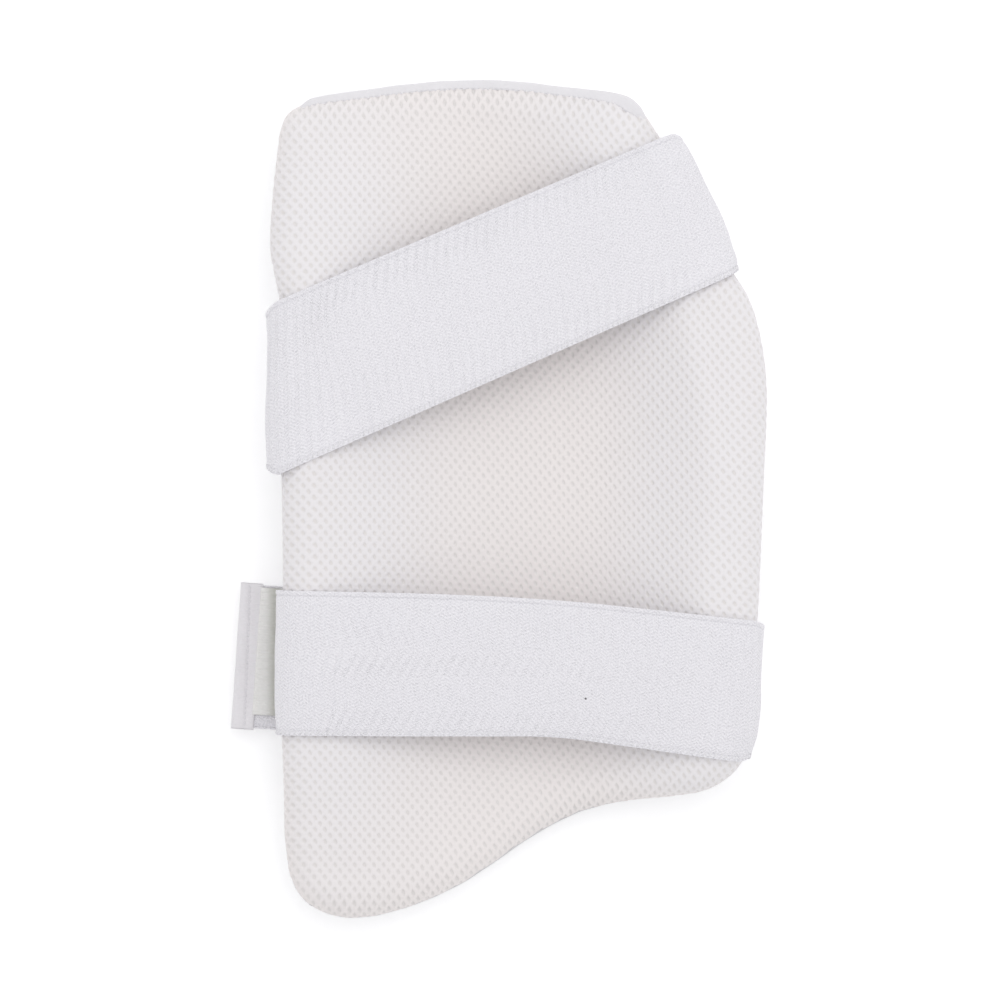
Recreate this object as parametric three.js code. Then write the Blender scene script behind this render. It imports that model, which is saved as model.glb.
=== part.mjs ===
// Cricket thigh guard lying on its convex outer face, hollow side up.
// Millimetres, +X across the pad, +Y up the thigh, +Z out of the hollow, floor at z = 0.
import * as THREE from 'three';

// Driving dimensions of the padded body
const padLength = 379.5;
const padWidth = 225;
const padThickness = 19;
const leftRimHeight = 41;
const rightRimHeight = 47;
const leftHollowRun = 100;
const rightHollowRun = 90;
const leftShoulder = 15;
const rightShoulder = 25;
const leftEdgeThickness = 20;
const rightEdgeThickness = 25;
const leftUnderRun = 92;
const rightUnderRun = 86;
const leftEdgeRound = 10;
const rightEdgeRound = 16;
const leftSoftness = 1.5;
const rightSoftness = 0.7;

// Cloth walls
const liningThickness = 2.2;
const coverThickness = 1.4;
const hemThickness = 1.2;
const hemWidth = 3.6;
const hemCornerWidth = 7.2;

// Elastic straps, their hook tapes and the bound end
const strapThickness = 2;
const upperFoldEase = 4.2;
const upperRightTopEase = 6.8;
const upperRightBottomEase = 0.6;
const lowerFoldEase = 0.4;
const sewnEndSetback = 8;
const lowerTailReach = 14.2;
const upperTailSetback = 62;
const tailLift = 9;
const hookThickness = 1.4;
const lowerHookLength = 60;
const upperHookLength = 45;
const hookMargin = 1;
const hookBareEdge = 6.5;
const bindingWidth = 9;
const bindingThickness = 0.8;
const bindingOverhang = 0.6;

// Clearance between neighbouring pieces
const clearance = 0.3;
const strapClearance = 0.5;

// Layers under the pad, from the floor up: return run, hook tape, sewn run, outer cover
const layerDrop = strapThickness + hookThickness + 2 * clearance;
const padBase = layerDrop + strapThickness + strapClearance;

// Outline of the pad seen from the hollow side, clockwise from the top left corner.
// across is a share of the width from the left, along a share of the length from the bottom.
const outlineRows = [
  { across: 0.028, along: 0.957 },
  { across: 0.068, along: 0.975 },
  { across: 0.182, along: 0.987 },
  { across: 0.323, along: 0.998 },
  { across: 0.464, along: 1.000 },
  { across: 0.605, along: 0.990 },
  { across: 0.719, along: 0.980 },
  { across: 0.743, along: 0.967 },
  { across: 0.786, along: 0.933 },
  { across: 0.860, along: 0.864 },
  { across: 0.914, along: 0.787 },
  { across: 0.963, along: 0.743 },
  { across: 0.991, along: 0.683 },
  { across: 1.000, along: 0.624 },
  { across: 0.994, along: 0.535 },
  { across: 0.987, along: 0.427 },
  { across: 0.979, along: 0.332 },
  { across: 0.969, along: 0.219 },
  { across: 0.937, along: 0.176 },
  { across: 0.867, along: 0.152 },
  { across: 0.746, along: 0.143 },
  { across: 0.625, along: 0.128 },
  { across: 0.514, along: 0.093 },
  { across: 0.394, along: 0.044 },
  { across: 0.273, along: 0.012 },
  { across: 0.156, along: 0.000 },
  { across: 0.074, along: 0.018 },
  { across: 0.037, along: 0.056 },
  { across: 0.028, along: 0.153 },
  { across: 0.023, along: 0.272 },
  { across: 0.027, along: 0.415 },
  { across: 0.023, along: 0.570 },
  { across: 0.021, along: 0.737 },
  { across: 0.001, along: 0.794 },
  { across: 0.004, along: 0.850 },
  { across: 0.016, along: 0.921 },
];

// Rows of the outline between which the top hem runs, and where it is widest.
const hemRun = { first: 1, corner: 7, last: 7.5 };

// Where the two sides of the hollow stand along the pad, as shares of the width, and how much of
// the full rim rise they have there.
const rimRows = [
  { along: 0.00, left: 0.04, right: 0.94, leftRise: 0.30, rightRise: 0.35 },
  { along: 0.12, left: 0.03, right: 0.96, leftRise: 0.52, rightRise: 0.62 },
  { along: 0.25, left: 0.02, right: 0.98, leftRise: 0.84, rightRise: 0.90 },
  { along: 0.42, left: 0.02, right: 0.99, leftRise: 1.00, rightRise: 1.00 },
  { along: 0.62, left: 0.02, right: 1.00, leftRise: 1.00, rightRise: 1.00 },
  { along: 0.80, left: 0.01, right: 0.92, leftRise: 0.88, rightRise: 0.88 },
  { along: 0.93, left: 0.01, right: 0.80, leftRise: 0.62, rightRise: 0.66 },
  { along: 1.00, left: 0.02, right: 0.73, leftRise: 0.45, rightRise: 0.50 },
];

// The line down the middle of the hollow that the rings of the skin close in on.
const spineRows = [
  { across: 0.40, along: 0.82 },
  { across: 0.50, along: 0.62 },
  { across: 0.50, along: 0.36 },
  { across: 0.28, along: 0.15 },
];

// Upper and lower edge of each strap across the hollow, and of its return run under the pad.
const upperStrapRows = [
  { across: 0.00, upper: 0.733, lower: 0.526 },
  { across: 1.00, upper: 0.985, lower: 0.786 },
];
const lowerStrapRows = [
  { across: 0.00, upper: 0.394, lower: 0.221 },
  { across: 0.36, upper: 0.389, lower: 0.220 },
  { across: 0.58, upper: 0.382, lower: 0.219 },
  { across: 0.77, upper: 0.371, lower: 0.204 },
  { across: 1.00, upper: 0.356, lower: 0.185 },
];
const lowerReturnRows = [
  { across: 0.00, upper: 0.398, lower: 0.225 },
  { across: 1.00, upper: 0.356, lower: 0.185 },
];

// Rings of the skin: insets from the edge as shares of the edge round, then shares of the way
// that is left to the spine.
const hollowSteps = { edge: [0.12, 0.38, 0.8, 1.35, 2.0, 2.8], inner: [0.2, 0.42, 0.65, 0.88] };
const outerSteps = { edge: [0.12, 0.45, 1.0, 1.9], inner: [0.16, 0.42, 0.88] };
const hemSteps = { hollow: [1, 0.6, 0.25], outer: [0.12, 0.45] };
const pointsPerRow = 2;
const footSmoothing = 12;
const slopeStep = 0.05;
const hemCornerRows = 2;

// Lines across a strap, and points along each stretch of it.
const strapLines = 6;
const strapPoints = { sewn: 13, hollow: 16, flank: 10, tail: 8 };

// A step along a strap is this long where it runs straight, or turns this far where it bends.
const straightStep = 18;
const turningStep = Math.PI / 16;
const sectionStep = 0.75;
const roundingSides = 32;
const flatTolerance = 0.01;
const middleOfPad = 0.5;
const hookRows = 5;
const bindingSegments = 6;

// Colours of the cloths
const meshWhite = 0xe6e5e8;
const coverWhite = 0xdedcdd;
const foamCream = 0xe9e4d6;
const elasticWhite = 0xe4e3e8;
const hookGrey = 0xc7c6c4;
const tapeWhite = 0xdcdadb;

const { clamp, lerp, smoothstep } = THREE.MathUtils;

// Smooth reading of one column of a table, straight on past its ends.
function readRows(rows, key, at, column) {
  const last = rows.length - 1;
  const slope = (low, high) => (rows[high][column] - rows[low][column])
    / (rows[high][key] - rows[low][key]);
  if (at <= rows[0][key]) {
    return rows[0][column] + slope(0, 1) * (at - rows[0][key]);
  }
  if (at >= rows[last][key]) {
    return rows[last][column] + slope(last - 1, last) * (at - rows[last][key]);
  }
  const high = rows.findIndex((row) => row[key] > at);
  const low = high - 1;
  const span = rows[high][key] - rows[low][key];
  const t = (at - rows[low][key]) / span;
  const startSlope = slope(Math.max(low - 1, 0), high);
  const endSlope = slope(low, Math.min(high + 1, last));
  return (2 * t ** 3 - 3 * t ** 2 + 1) * rows[low][column]
    + (t ** 3 - 2 * t ** 2 + t) * span * startSlope
    + (3 * t ** 2 - 2 * t ** 3) * rows[high][column]
    + (t ** 3 - t ** 2) * span * endSlope;
}

// Outline of the pad

const outlineCurve = new THREE.CatmullRomCurve3(
  outlineRows.map((row) => new THREE.Vector3(row.across * padWidth, row.along * padLength, 0)),
  true,
  'centripetal',
);

function outlinePoints(perRow) {
  const count = outlineRows.length * perRow;
  return Array.from({ length: count }, (_, i) => outlineCurve.getPoint(i / count));
}

const ringOutline = outlinePoints(pointsPerRow);
const fineOutline = outlinePoints(4 * pointsPerRow);

// Distance in from the outline, negative outside it.
function edgeDistance(x, y) {
  let nearest = Infinity;
  let inside = false;
  fineOutline.forEach((a, i) => {
    const b = fineOutline[(i + 1) % fineOutline.length];
    const dx = b.x - a.x;
    const dy = b.y - a.y;
    const t = clamp(((x - a.x) * dx + (y - a.y) * dy) / (dx * dx + dy * dy), 0, 1);
    nearest = Math.min(nearest, Math.hypot(x - a.x - t * dx, y - a.y - t * dy));
    if ((a.y > y) !== (b.y > y) && x < a.x + ((y - a.y) / dy) * dx) inside = !inside;
  });
  return inside ? nearest : -nearest;
}

// Heights of the hollow face and of the outer face

function edgeRound(x) {
  return lerp(leftEdgeRound, rightEdgeRound, clamp(x / padWidth, 0, 1));
}

// Wall of the hollow, from 1 at its shoulder to 0 on the floor. A softness of 2 leaves the
// shoulder level, less makes it a crease.
function wallShare(distance, shoulder, run, softness) {
  const t = clamp((distance - shoulder) / (run - shoulder), 0, 1);
  return (1 - t) ** 2 * (1 + softness * t);
}

function flankShare(distance, run) {
  return (1 - clamp(distance / run, 0, 1)) ** 2;
}

function padHeights(x, y) {
  const rim = (column) => readRows(rimRows, 'along', y / padLength, column);
  const fromLeft = x - rim('left') * padWidth;
  const fromRight = rim('right') * padWidth - x;
  const leftRise = rim('leftRise');
  const rightRise = rim('rightRise');
  const hollow = padThickness
    + leftRise * (leftRimHeight - padThickness)
      * wallShare(fromLeft, leftShoulder, leftHollowRun, leftSoftness)
    + rightRise * (rightRimHeight - padThickness)
      * wallShare(fromRight, rightShoulder, rightHollowRun, rightSoftness);
  const outer = leftRise * (leftRimHeight - leftEdgeThickness) * flankShare(fromLeft, leftUnderRun)
    + rightRise * (rightRimHeight - rightEdgeThickness) * flankShare(fromRight, rightUnderRun);
  const middle = (hollow + outer) / 2;
  const inset = clamp(edgeDistance(x, y) / edgeRound(x), 0, 1);
  const fullness = Math.sqrt(1 - (1 - inset) ** 2);
  return {
    hollow: padBase + lerp(middle, hollow, fullness),
    outer: padBase + lerp(middle, outer, fullness),
  };
}

// Rings of the skin, from the middle of the hollow over the edge to the middle of the outer face

const spine = spineRows.map(
  (row) => new THREE.Vector3(row.across * padWidth, row.along * padLength, 0),
);

function nearestOnSpine(point) {
  const feet = spine.slice(1).map((end, i) => new THREE.Line3(spine[i], end)
    .closestPointToPoint(point, true, new THREE.Vector3()));
  return feet.reduce((a, b) => (b.distanceTo(point) < a.distanceTo(point) ? b : a));
}

// Each point of a ring moved half way to the middle of its two neighbours.
function smoothRing(ring) {
  return ring.map((point, i) => {
    const before = ring[(i + ring.length - 1) % ring.length];
    const after = ring[(i + 1) % ring.length];
    return before.clone().add(after).multiplyScalar(0.5).lerp(point, 0.5);
  });
}

const spineFeet = Array.from({ length: footSmoothing }).reduce(
  (ring) => smoothRing(ring),
  ringOutline.map(nearestOnSpine),
);

// Outward direction of one face of the skin, level where it meets the outline.
function skinNormal(x, y, face) {
  const rise = (dx, dy) => padHeights(x + dx, y + dy)[face] - padHeights(x - dx, y - dy)[face];
  const slopeX = rise(slopeStep, 0) / (2 * slopeStep);
  const slopeY = rise(0, slopeStep) / (2 * slopeStep);
  const up = new THREE.Vector3(-slopeX, -slopeY, 1).normalize();
  return face === 'hollow' ? up : up.negate();
}

// A ring of the skin at one inset from the outline, with its outward directions.
function insetRing(insetOf, face) {
  const points = ringOutline.map((edge, i) => {
    const reach = edge.distanceTo(spineFeet[i]);
    const inset = insetOf(i, edgeRound(edge.x), reach);
    const point = edge.clone().lerp(spineFeet[i], inset / reach);
    return point.setZ(padHeights(point.x, point.y)[face]);
  });
  return { points, normals: points.map(({ x, y }) => skinNormal(x, y, face)) };
}

function outlineRing() {
  const { points } = insetRing(() => 0, 'hollow');
  const normals = points.map((_, i) => {
    const along = points[(i + 1) % points.length].clone()
      .sub(points[(i + points.length - 1) % points.length]);
    return new THREE.Vector3(-along.y, along.x, 0).normalize();
  });
  return { points, normals };
}

function faceRings(steps, face) {
  const lastEdge = steps.edge[steps.edge.length - 1];
  return [
    ...steps.edge.map((share) => insetRing((i, round) => share * round, face)),
    ...steps.inner.map((share) => insetRing(
      (i, round, reach) => lerp(lastEdge * round, reach, share),
      face,
    )),
  ];
}

const hollowRings = faceRings(hollowSteps, 'hollow').reverse();
const edgeRing = outlineRing();
const outerRings = faceRings(outerSteps, 'outer');
const skinRings = [...hollowRings, edgeRing, ...outerRings];
const seam = hollowRings.length + 1;
const lastRing = skinRings.length - 1;

// The ring moved outward by a height, inward where that is negative.
function raiseRing({ points, normals }, height) {
  return points.map((point, i) => point.clone().addScaledVector(normals[i], height));
}

function skinLayer(depth, first, last) {
  return skinRings.slice(first, last + 1).map((ring) => raiseRing(ring, -depth));
}

// The edge of the outer cover, one clearance below the edge of the lining.
function coverEdge() {
  const upper = skinRings[seam];
  const lower = skinRings[seam + 1];
  const shares = upper.points.map((point, i) => clearance / point.distanceTo(lower.points[i]));
  return {
    points: upper.points.map((point, i) => point.clone().lerp(lower.points[i], shares[i])),
    normals: upper.normals.map((normal, i) => normal.clone().lerp(lower.normals[i], shares[i])),
  };
}

// Closed solids from grids of points

function solid(points, faces) {
  const geometry = new THREE.BufferGeometry();
  const places = points.flatMap((point) => [point.x, point.y, point.z]);
  geometry.setAttribute('position', new THREE.Float32BufferAttribute(places, 3));
  geometry.setIndex(faces.flat());
  geometry.computeVertexNormals();
  return geometry;
}

// Triangles that close a ring of the skin, facing up.
function ringCap(ring) {
  const flat = ring.map((point) => new THREE.Vector2(point.x, point.y));
  return THREE.ShapeUtils.triangulateShape(flat, []).map((corners) => {
    const area = THREE.ShapeUtils.area(corners.map((corner) => flat[corner]));
    return area > 0 ? corners : [...corners].reverse();
  });
}

const hollowCap = ringCap(skinRings[0].points);
const outerCap = ringCap(skinRings[lastRing].points);

const turnedOver = ([a, b, c]) => [a, c, b];

// Faces of the bands between rings that are stored one after another.
function bandFaces(rows, start) {
  const count = ringOutline.length;
  const faces = [];
  for (let j = 0; j + 1 < rows; j += 1) {
    for (let i = 0; i < count; i += 1) {
      const a = start + j * count + i;
      const b = start + j * count + ((i + 1) % count);
      faces.push([a, b, b + count], [a, b + count, a + count]);
    }
  }
  return faces;
}

function movedFaces(faces, start) {
  return faces.map((corners) => corners.map((corner) => corner + start));
}

// The whole padded form between the cap of the hollow and the cap of the outer face.
function ringSolid(rings) {
  const lastStart = (rings.length - 1) * rings[0].length;
  return solid(rings.flat(), [
    ...hollowCap,
    ...bandFaces(rings.length, 0),
    ...movedFaces(outerCap, lastStart).map(turnedOver),
  ]);
}

// A wall that follows the hollow face: cap on the first rings, open edge on the last ones.
function hollowShell(outside, inside) {
  const start = outside.flat().length;
  const rim = outside.length - 1;
  const edge = [outside[rim], inside[rim]];
  return solid([...outside.flat(), ...inside.flat(), ...edge.flat()], [
    ...hollowCap,
    ...bandFaces(outside.length, 0),
    ...bandFaces(inside.length, start).map(turnedOver),
    ...movedFaces(hollowCap, start).map(turnedOver),
    ...bandFaces(edge.length, 2 * start),
  ]);
}

// A wall that follows the outer face: open edge on the first rings, cap on the last ones.
function outerShell(outside, inside) {
  const start = outside.flat().length;
  const lastStart = start - ringOutline.length;
  const edge = [inside[0], outside[0]];
  return solid([...outside.flat(), ...inside.flat(), ...edge.flat()], [
    ...bandFaces(outside.length, 0),
    ...movedFaces(outerCap, lastStart).map(turnedOver),
    ...bandFaces(inside.length, start).map(turnedOver),
    ...movedFaces(outerCap, start + lastStart),
    ...bandFaces(edge.length, 2 * start),
  ]);
}

// Wall between two grids of the same size, the first one outside.
function wallSolid(outside, inside) {
  const rows = outside.length;
  const columns = outside[0].length;
  const under = rows * columns;
  const faces = [];
  const quad = (a, b, c, d) => faces.push([a, b, c], [a, c, d]);
  for (let j = 0; j + 1 < rows; j += 1) {
    for (let i = 0; i + 1 < columns; i += 1) {
      const a = j * columns + i;
      quad(a, a + 1, a + columns + 1, a + columns);
      quad(under + a, under + a + columns, under + a + columns + 1, under + a + 1);
    }
  }
  const lastRow = (rows - 1) * columns;
  for (let i = 0; i + 1 < columns; i += 1) {
    quad(i, under + i, under + i + 1, i + 1);
    quad(lastRow + i, lastRow + i + 1, under + lastRow + i + 1, under + lastRow + i);
  }
  for (let near = 0; near < lastRow; near += columns) {
    const far = near + columns - 1;
    quad(near, near + columns, under + near + columns, under + near);
    quad(far, under + far, under + far + columns, far + columns);
  }
  return solid([...outside.flat(), ...inside.flat()], faces);
}

// Padded body

function foamPad() {
  const outerDepth = coverThickness + clearance;
  return ringSolid([
    ...skinLayer(liningThickness + clearance, 0, seam),
    ...skinLayer(outerDepth, seam + 1, lastRing),
  ]);
}

function meshLining() {
  return hollowShell(skinLayer(0, 0, seam), skinLayer(liningThickness, 0, seam));
}

function outerCover() {
  const edge = coverEdge();
  const outside = [edge.points, ...skinLayer(0, seam + 1, lastRing)];
  const inside = [raiseRing(edge, -coverThickness), ...skinLayer(coverThickness, seam + 1, lastRing)];
  return outerShell(outside, inside);
}

// Width of the top hem at one point of the outline, widest at the corner.
function hemWidthAt(i) {
  const row = i / pointsPerRow;
  const beside = row < hemRun.corner ? hemCornerRows : 2 * hemCornerRows;
  const swell = 1 - smoothstep(Math.abs(row - hemRun.corner), 0, beside);
  return lerp(hemWidth, hemCornerWidth, swell);
}

function topHem() {
  const rings = [
    ...hemSteps.hollow.map((share) => insetRing((i) => share * hemWidthAt(i), 'hollow')),
    edgeRing,
    ...hemSteps.outer.map((share) => insetRing((i, round) => share * round, 'outer')),
  ];
  const first = hemRun.first * pointsPerRow;
  const last = hemRun.last * pointsPerRow;
  const sheet = (height) => rings.map((ring) => raiseRing(ring, height).slice(first, last + 1));
  const outside = sheet(clearance + hemThickness);
  const inside = sheet(clearance);
  return wallSolid(outside, inside);
}

// Straps

function convexHull(points) {
  const sorted = [...points].sort((a, b) => a.x - b.x || a.y - b.y);
  const half = (list) => {
    const chain = [];
    list.forEach((point) => {
      while (chain.length > 1) {
        const [a, b] = chain.slice(-2);
        if ((b.x - a.x) * (point.y - a.y) - (b.y - a.y) * (point.x - a.x) > 0) break;
        chain.pop();
      }
      chain.push(point);
    });
    return chain.slice(0, -1);
  };
  return [...half(sorted), ...half(sorted.reverse())];
}

function roundedHull(points, radius) {
  const circle = Array.from({ length: roundingSides }, (_, i) => {
    const angle = (2 * Math.PI * i) / roundingSides;
    return new THREE.Vector2(radius * Math.cos(angle), radius * Math.sin(angle));
  });
  return convexHull(convexHull(points).flatMap(
    (point) => circle.map((offset) => point.clone().add(offset)),
  ));
}


// Plan of one line along a strap: share 0 is its upper edge, share 1 its lower edge.
function planLine(rows, share) {
  const alongAt = (x) => padLength * lerp(
    readRows(rows, 'across', x / padWidth, 'upper'),
    readRows(rows, 'across', x / padWidth, 'lower'),
    share,
  );
  return (x) => new THREE.Vector2(x, alongAt(x));
}

// The plan line with the length walked along it, past both sides of the pad.
function measuredPlan(plan) {
  const beside = 4 * strapThickness + Math.max(upperFoldEase, upperRightTopEase);
  const count = Math.ceil((padWidth + 2 * beside) / sectionStep);
  const points = Array.from({ length: count + 1 }, (_, i) => plan(i * sectionStep - beside));
  const walked = [0];
  points.slice(1).forEach((point, i) => walked.push(walked[i] + point.distanceTo(points[i])));
  const at = (length) => {
    const found = walked.findIndex((w) => w > length);
    const high = found < 0 ? count : Math.max(found, 1);
    const ahead = points[high].clone().sub(points[high - 1]).normalize();
    const place = points[high - 1].clone().addScaledVector(ahead, length - walked[high - 1]);
    return { place, ahead };
  };
  return { points, walked, at };
}

// The taut loop round the pad's section under a plan line, walked clockwise from the right end
// of its flat underside. x is the length walked in plan, y the height.
function tautLoop(measured) {
  const section = [];
  measured.points.forEach((point, i) => {
    if (edgeDistance(point.x, point.y) <= 0) return;
    const heights = padHeights(point.x, point.y);
    section.push(new THREE.Vector2(measured.walked[i], heights.hollow));
    section.push(new THREE.Vector2(measured.walked[i], heights.outer));
  });
  const corners = roundedHull(section, strapClearance + strapThickness / 2).reverse();
  const path = new THREE.CurvePath();
  corners.forEach((corner, i) => {
    path.add(new THREE.LineCurve(corner, corners[(i + 1) % corners.length]));
  });
  path.arcLengthDivisions = corners.length;
  const count = Math.round(path.getLength() / sectionStep);
  const dense = Array.from({ length: count }, (_, i) => path.getPointAt(i / count));
  const lowest = Math.min(...dense.map((point) => point.y));
  const flat = dense.filter((point) => point.y < lowest + flatTolerance);
  const right = flat.reduce((a, b) => (b.x > a.x ? b : a));
  const first = dense.indexOf(right);
  return [...dense.slice(first), ...dense.slice(0, first)];
}

// Outward direction of a loop walked clockwise, at one of its points.
function loopNormal(points, i) {
  const before = points[(i + points.length - 2) % points.length];
  const after = points[(i + 2) % points.length];
  const along = after.clone().sub(before).normalize();
  return new THREE.Vector2(-along.y, along.x);
}

// Indices spread along a stretch of the loop, closer together where it turns.
function spreadIndices(points, first, last, count) {
  const effort = [0];
  for (let i = first; i < last; i += 1) {
    const here = points[i % points.length];
    const next = points[(i + 1) % points.length];
    const turn = Math.acos(clamp(loopNormal(points, i).dot(loopNormal(points, i + 1)), -1, 1));
    effort.push(effort[i - first] + here.distanceTo(next) / straightStep + turn / turningStep);
  }
  const total = effort[effort.length - 1];
  return Array.from({ length: count }, (_, k) => {
    const wanted = (k / count) * total;
    return first + effort.findIndex((value) => value >= wanted);
  });
}

// Free end of a strap under and beside the pad: places counted back from its cut end.
function tailRun(strap) {
  const middle = planLine(strap.returnRows, 0.5);
  const ahead = middle(1).sub(middle(0)).normalize();
  const width = planLine(strap.returnRows, 0)(strap.tailX)
    .sub(planLine(strap.returnRows, 1)(strap.tailX)).y * ahead.x;
  const endX = (share) => strap.tailX - (0.5 - share) * width * ahead.y;
  const at = (share, back) => {
    const x = endX(share) + back;
    const place = planLine(strap.returnRows, share)(x);
    const raised = clamp(1 - back / strap.liftRun, 0, 1);
    const slope = (2 * strap.lift * raised) / strap.liftRun;
    const normal = new THREE.Vector3(-slope * ahead.x, -slope * ahead.y, -1).normalize();
    return {
      point: new THREE.Vector3(place.x, place.y, strapThickness / 2 + strap.lift * raised ** 2),
      normal,
    };
  };
  return { at, endX, width, ahead };
}

// Rows of places along the middle of a strap, one place for each line across it.
function strapPath(strap) {
  const tail = tailRun(strap);
  const lines = Array.from({ length: strapLines }, (_, line) => {
    const share = line / (strapLines - 1);
    const measured = measuredPlan(planLine(strap.rows, share));
    const returning = planLine(strap.returnRows, share);
    const points = tautLoop(measured);
    const leftmost = points.indexOf(points.reduce((a, b) => (b.x < a.x ? b : a)));
    const rightmost = points.indexOf(points.reduce((a, b) => (b.x > a.x ? b : a)));
    const start = Math.round(sewnEndSetback / sectionStep);
    const place = (i, underneath) => {
      const flat = loopNormal(points, i);
      const turn = (i - rightmost) / (points.length - rightmost);
      const drop = underneath ? layerDrop * smoothstep(turn, 0, 1) : 0;
      const ease = flat.x < 0 ? strap.leftEase : lerp(...strap.rightEase, share);
      const spot = points[i].clone().addScaledVector(flat, ease * flat.x ** 2 + drop);
      const plan = measured.at(spot.x);
      const y = underneath ? returning(plan.place.x).y : plan.place.y;
      return {
        point: new THREE.Vector3(plan.place.x, y, spot.y),
        normal: new THREE.Vector3(flat.x * plan.ahead.x, flat.x * plan.ahead.y, flat.y),
      };
    };
    const sewn = spreadIndices(points, start, leftmost, strapPoints.sewn);
    const hollow = spreadIndices(points, leftmost, rightmost, strapPoints.hollow);
    const flank = spreadIndices(points, rightmost, points.length - 1, strapPoints.flank);
    const flatRight = measured.at(points[0].x).place.x;
    const tailLength = flatRight - tail.endX(share);
    const tailPlaces = Array.from({ length: strapPoints.tail + 1 }, (_, k) => (
      tail.at(share, tailLength * (1 - k / strapPoints.tail))
    ));
    return [
      ...[...sewn, ...hollow].map((i) => place(i, false)),
      ...flank.map((i) => place(i, true)),
      ...tailPlaces,
    ];
  });
  return lines[0].map((_, j) => lines.map((line) => line[j]));
}

function raised(places, height) {
  return places.map((row) => row.map(
    ({ point, normal }) => point.clone().addScaledVector(normal, height),
  ));
}

function strapBand(strap) {
  const places = strapPath(strap);
  return wallSolid(raised(places, strapThickness / 2), raised(places, -strapThickness / 2));
}

// Hook tape on the face of the free end that looks up at the pad.
function hookTape(strap) {
  const tail = tailRun(strap);
  const shares = [hookMargin / tail.width, 1 - strap.hookBareEdge / tail.width];
  const places = Array.from({ length: hookRows + 1 }, (_, k) => {
    const back = strap.hookStart + strap.hookLength * (1 - k / hookRows);
    return shares.map((share) => tail.at(share, back));
  });
  const seat = -strapThickness / 2 - clearance;
  return wallSolid(raised(places, seat), raised(places, seat - hookThickness));
}

// Folded end binding: a channel round the cut end of the strap.
function endBinding(strap) {
  const tail = tailRun(strap);
  const slot = strapThickness / 2 + clearance;
  const half = slot + bindingThickness;
  const profile = new THREE.Shape();
  profile.moveTo(-bindingWidth, half);
  profile.lineTo(0, half);
  profile.absarc(0, 0, half, Math.PI / 2, -Math.PI / 2, true);
  profile.lineTo(-bindingWidth, -half);
  profile.lineTo(-bindingWidth, -slot);
  profile.lineTo(clearance, -slot);
  profile.lineTo(clearance, slot);
  profile.lineTo(-bindingWidth, slot);
  profile.closePath();
  const length = tail.width + 2 * bindingOverhang;
  const binding = new THREE.ExtrudeGeometry(profile, {
    depth: length,
    bevelEnabled: false,
    curveSegments: bindingSegments,
  });
  const { point, normal } = tail.at(0.5, 0);
  const up = normal.clone().negate();
  const side = new THREE.Vector3(-tail.ahead.y, tail.ahead.x, 0);
  const outward = new THREE.Vector3().crossVectors(up, side);
  const frame = new THREE.Matrix4().makeBasis(outward, up, side);
  frame.setPosition(point.clone().addScaledVector(side, -length / 2));
  return binding.applyMatrix4(frame);
}

// Assembly

const flatLeftX = leftUnderRun + readRows(rimRows, 'along', middleOfPad, 'left') * padWidth;
const lowerStrap = {
  rows: lowerStrapRows,
  returnRows: lowerReturnRows,
  leftEase: lowerFoldEase,
  rightEase: [lowerFoldEase, lowerFoldEase],
  tailX: -lowerTailReach,
  lift: tailLift,
  liftRun: flatLeftX + lowerTailReach,
  hookStart: bindingWidth + clearance,
  hookLength: lowerHookLength,
  hookBareEdge,
};
const upperStrap = {
  rows: upperStrapRows,
  returnRows: upperStrapRows,
  leftEase: upperFoldEase,
  rightEase: [upperRightTopEase, upperRightBottomEase],
  tailX: upperTailSetback,
  lift: 0,
  liftRun: flatLeftX,
  hookStart: hookMargin,
  hookLength: upperHookLength,
  hookBareEdge: hookMargin,
};

function piece(name, geometry, color, roughness) {
  const material = new THREE.MeshStandardMaterial({ color, roughness, metalness: 0 });
  const mesh = new THREE.Mesh(geometry, material);
  mesh.name = name;
  return mesh;
}

const guard = new THREE.Group();
guard.add(
  piece('foam_pad', foamPad(), foamCream, 0.95),
  piece('mesh_lining', meshLining(), meshWhite, 0.85),
  piece('outer_cover', outerCover(), coverWhite, 0.7),
  piece('top_hem', topHem(), coverWhite, 0.7),
  piece('upper_strap', strapBand(upperStrap), elasticWhite, 0.8),
  piece('lower_strap', strapBand(lowerStrap), elasticWhite, 0.8),
  piece('upper_hook_tape', hookTape(upperStrap), hookGrey, 0.6),
  piece('lower_hook_tape', hookTape(lowerStrap), hookGrey, 0.6),
  piece('tail_binding', endBinding(lowerStrap), tapeWhite, 0.65),
);

// Origin at the middle of the guard, on the floor that it lies on.
const reach = new THREE.Box3().setFromObject(guard, true);
guard.position.set(-(reach.min.x + reach.max.x) / 2, -(reach.min.y + reach.max.y) / 2, 0);

export default guard;
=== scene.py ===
# %% [markdown]
# # A cricket thigh guard
#
# A thigh guard is a slab of moulded foam in a bag of white cloth. The side that lies on the
# thigh is lined with air mesh, the outer side is plain, and two wide elastic straps run round
# the leg. This lesson dresses the imported CAD model: the CAD solids stay the truth for size and
# place, and each soft solid is stood for by a piece with the real finish.

# The dressed guard must stay close to it.

# %% Load the frame
import math

import bmesh
import bpy
import numpy as np
from mathutils import Matrix, Vector, noise
from mathutils.bvhtree import BVHTree


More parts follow.
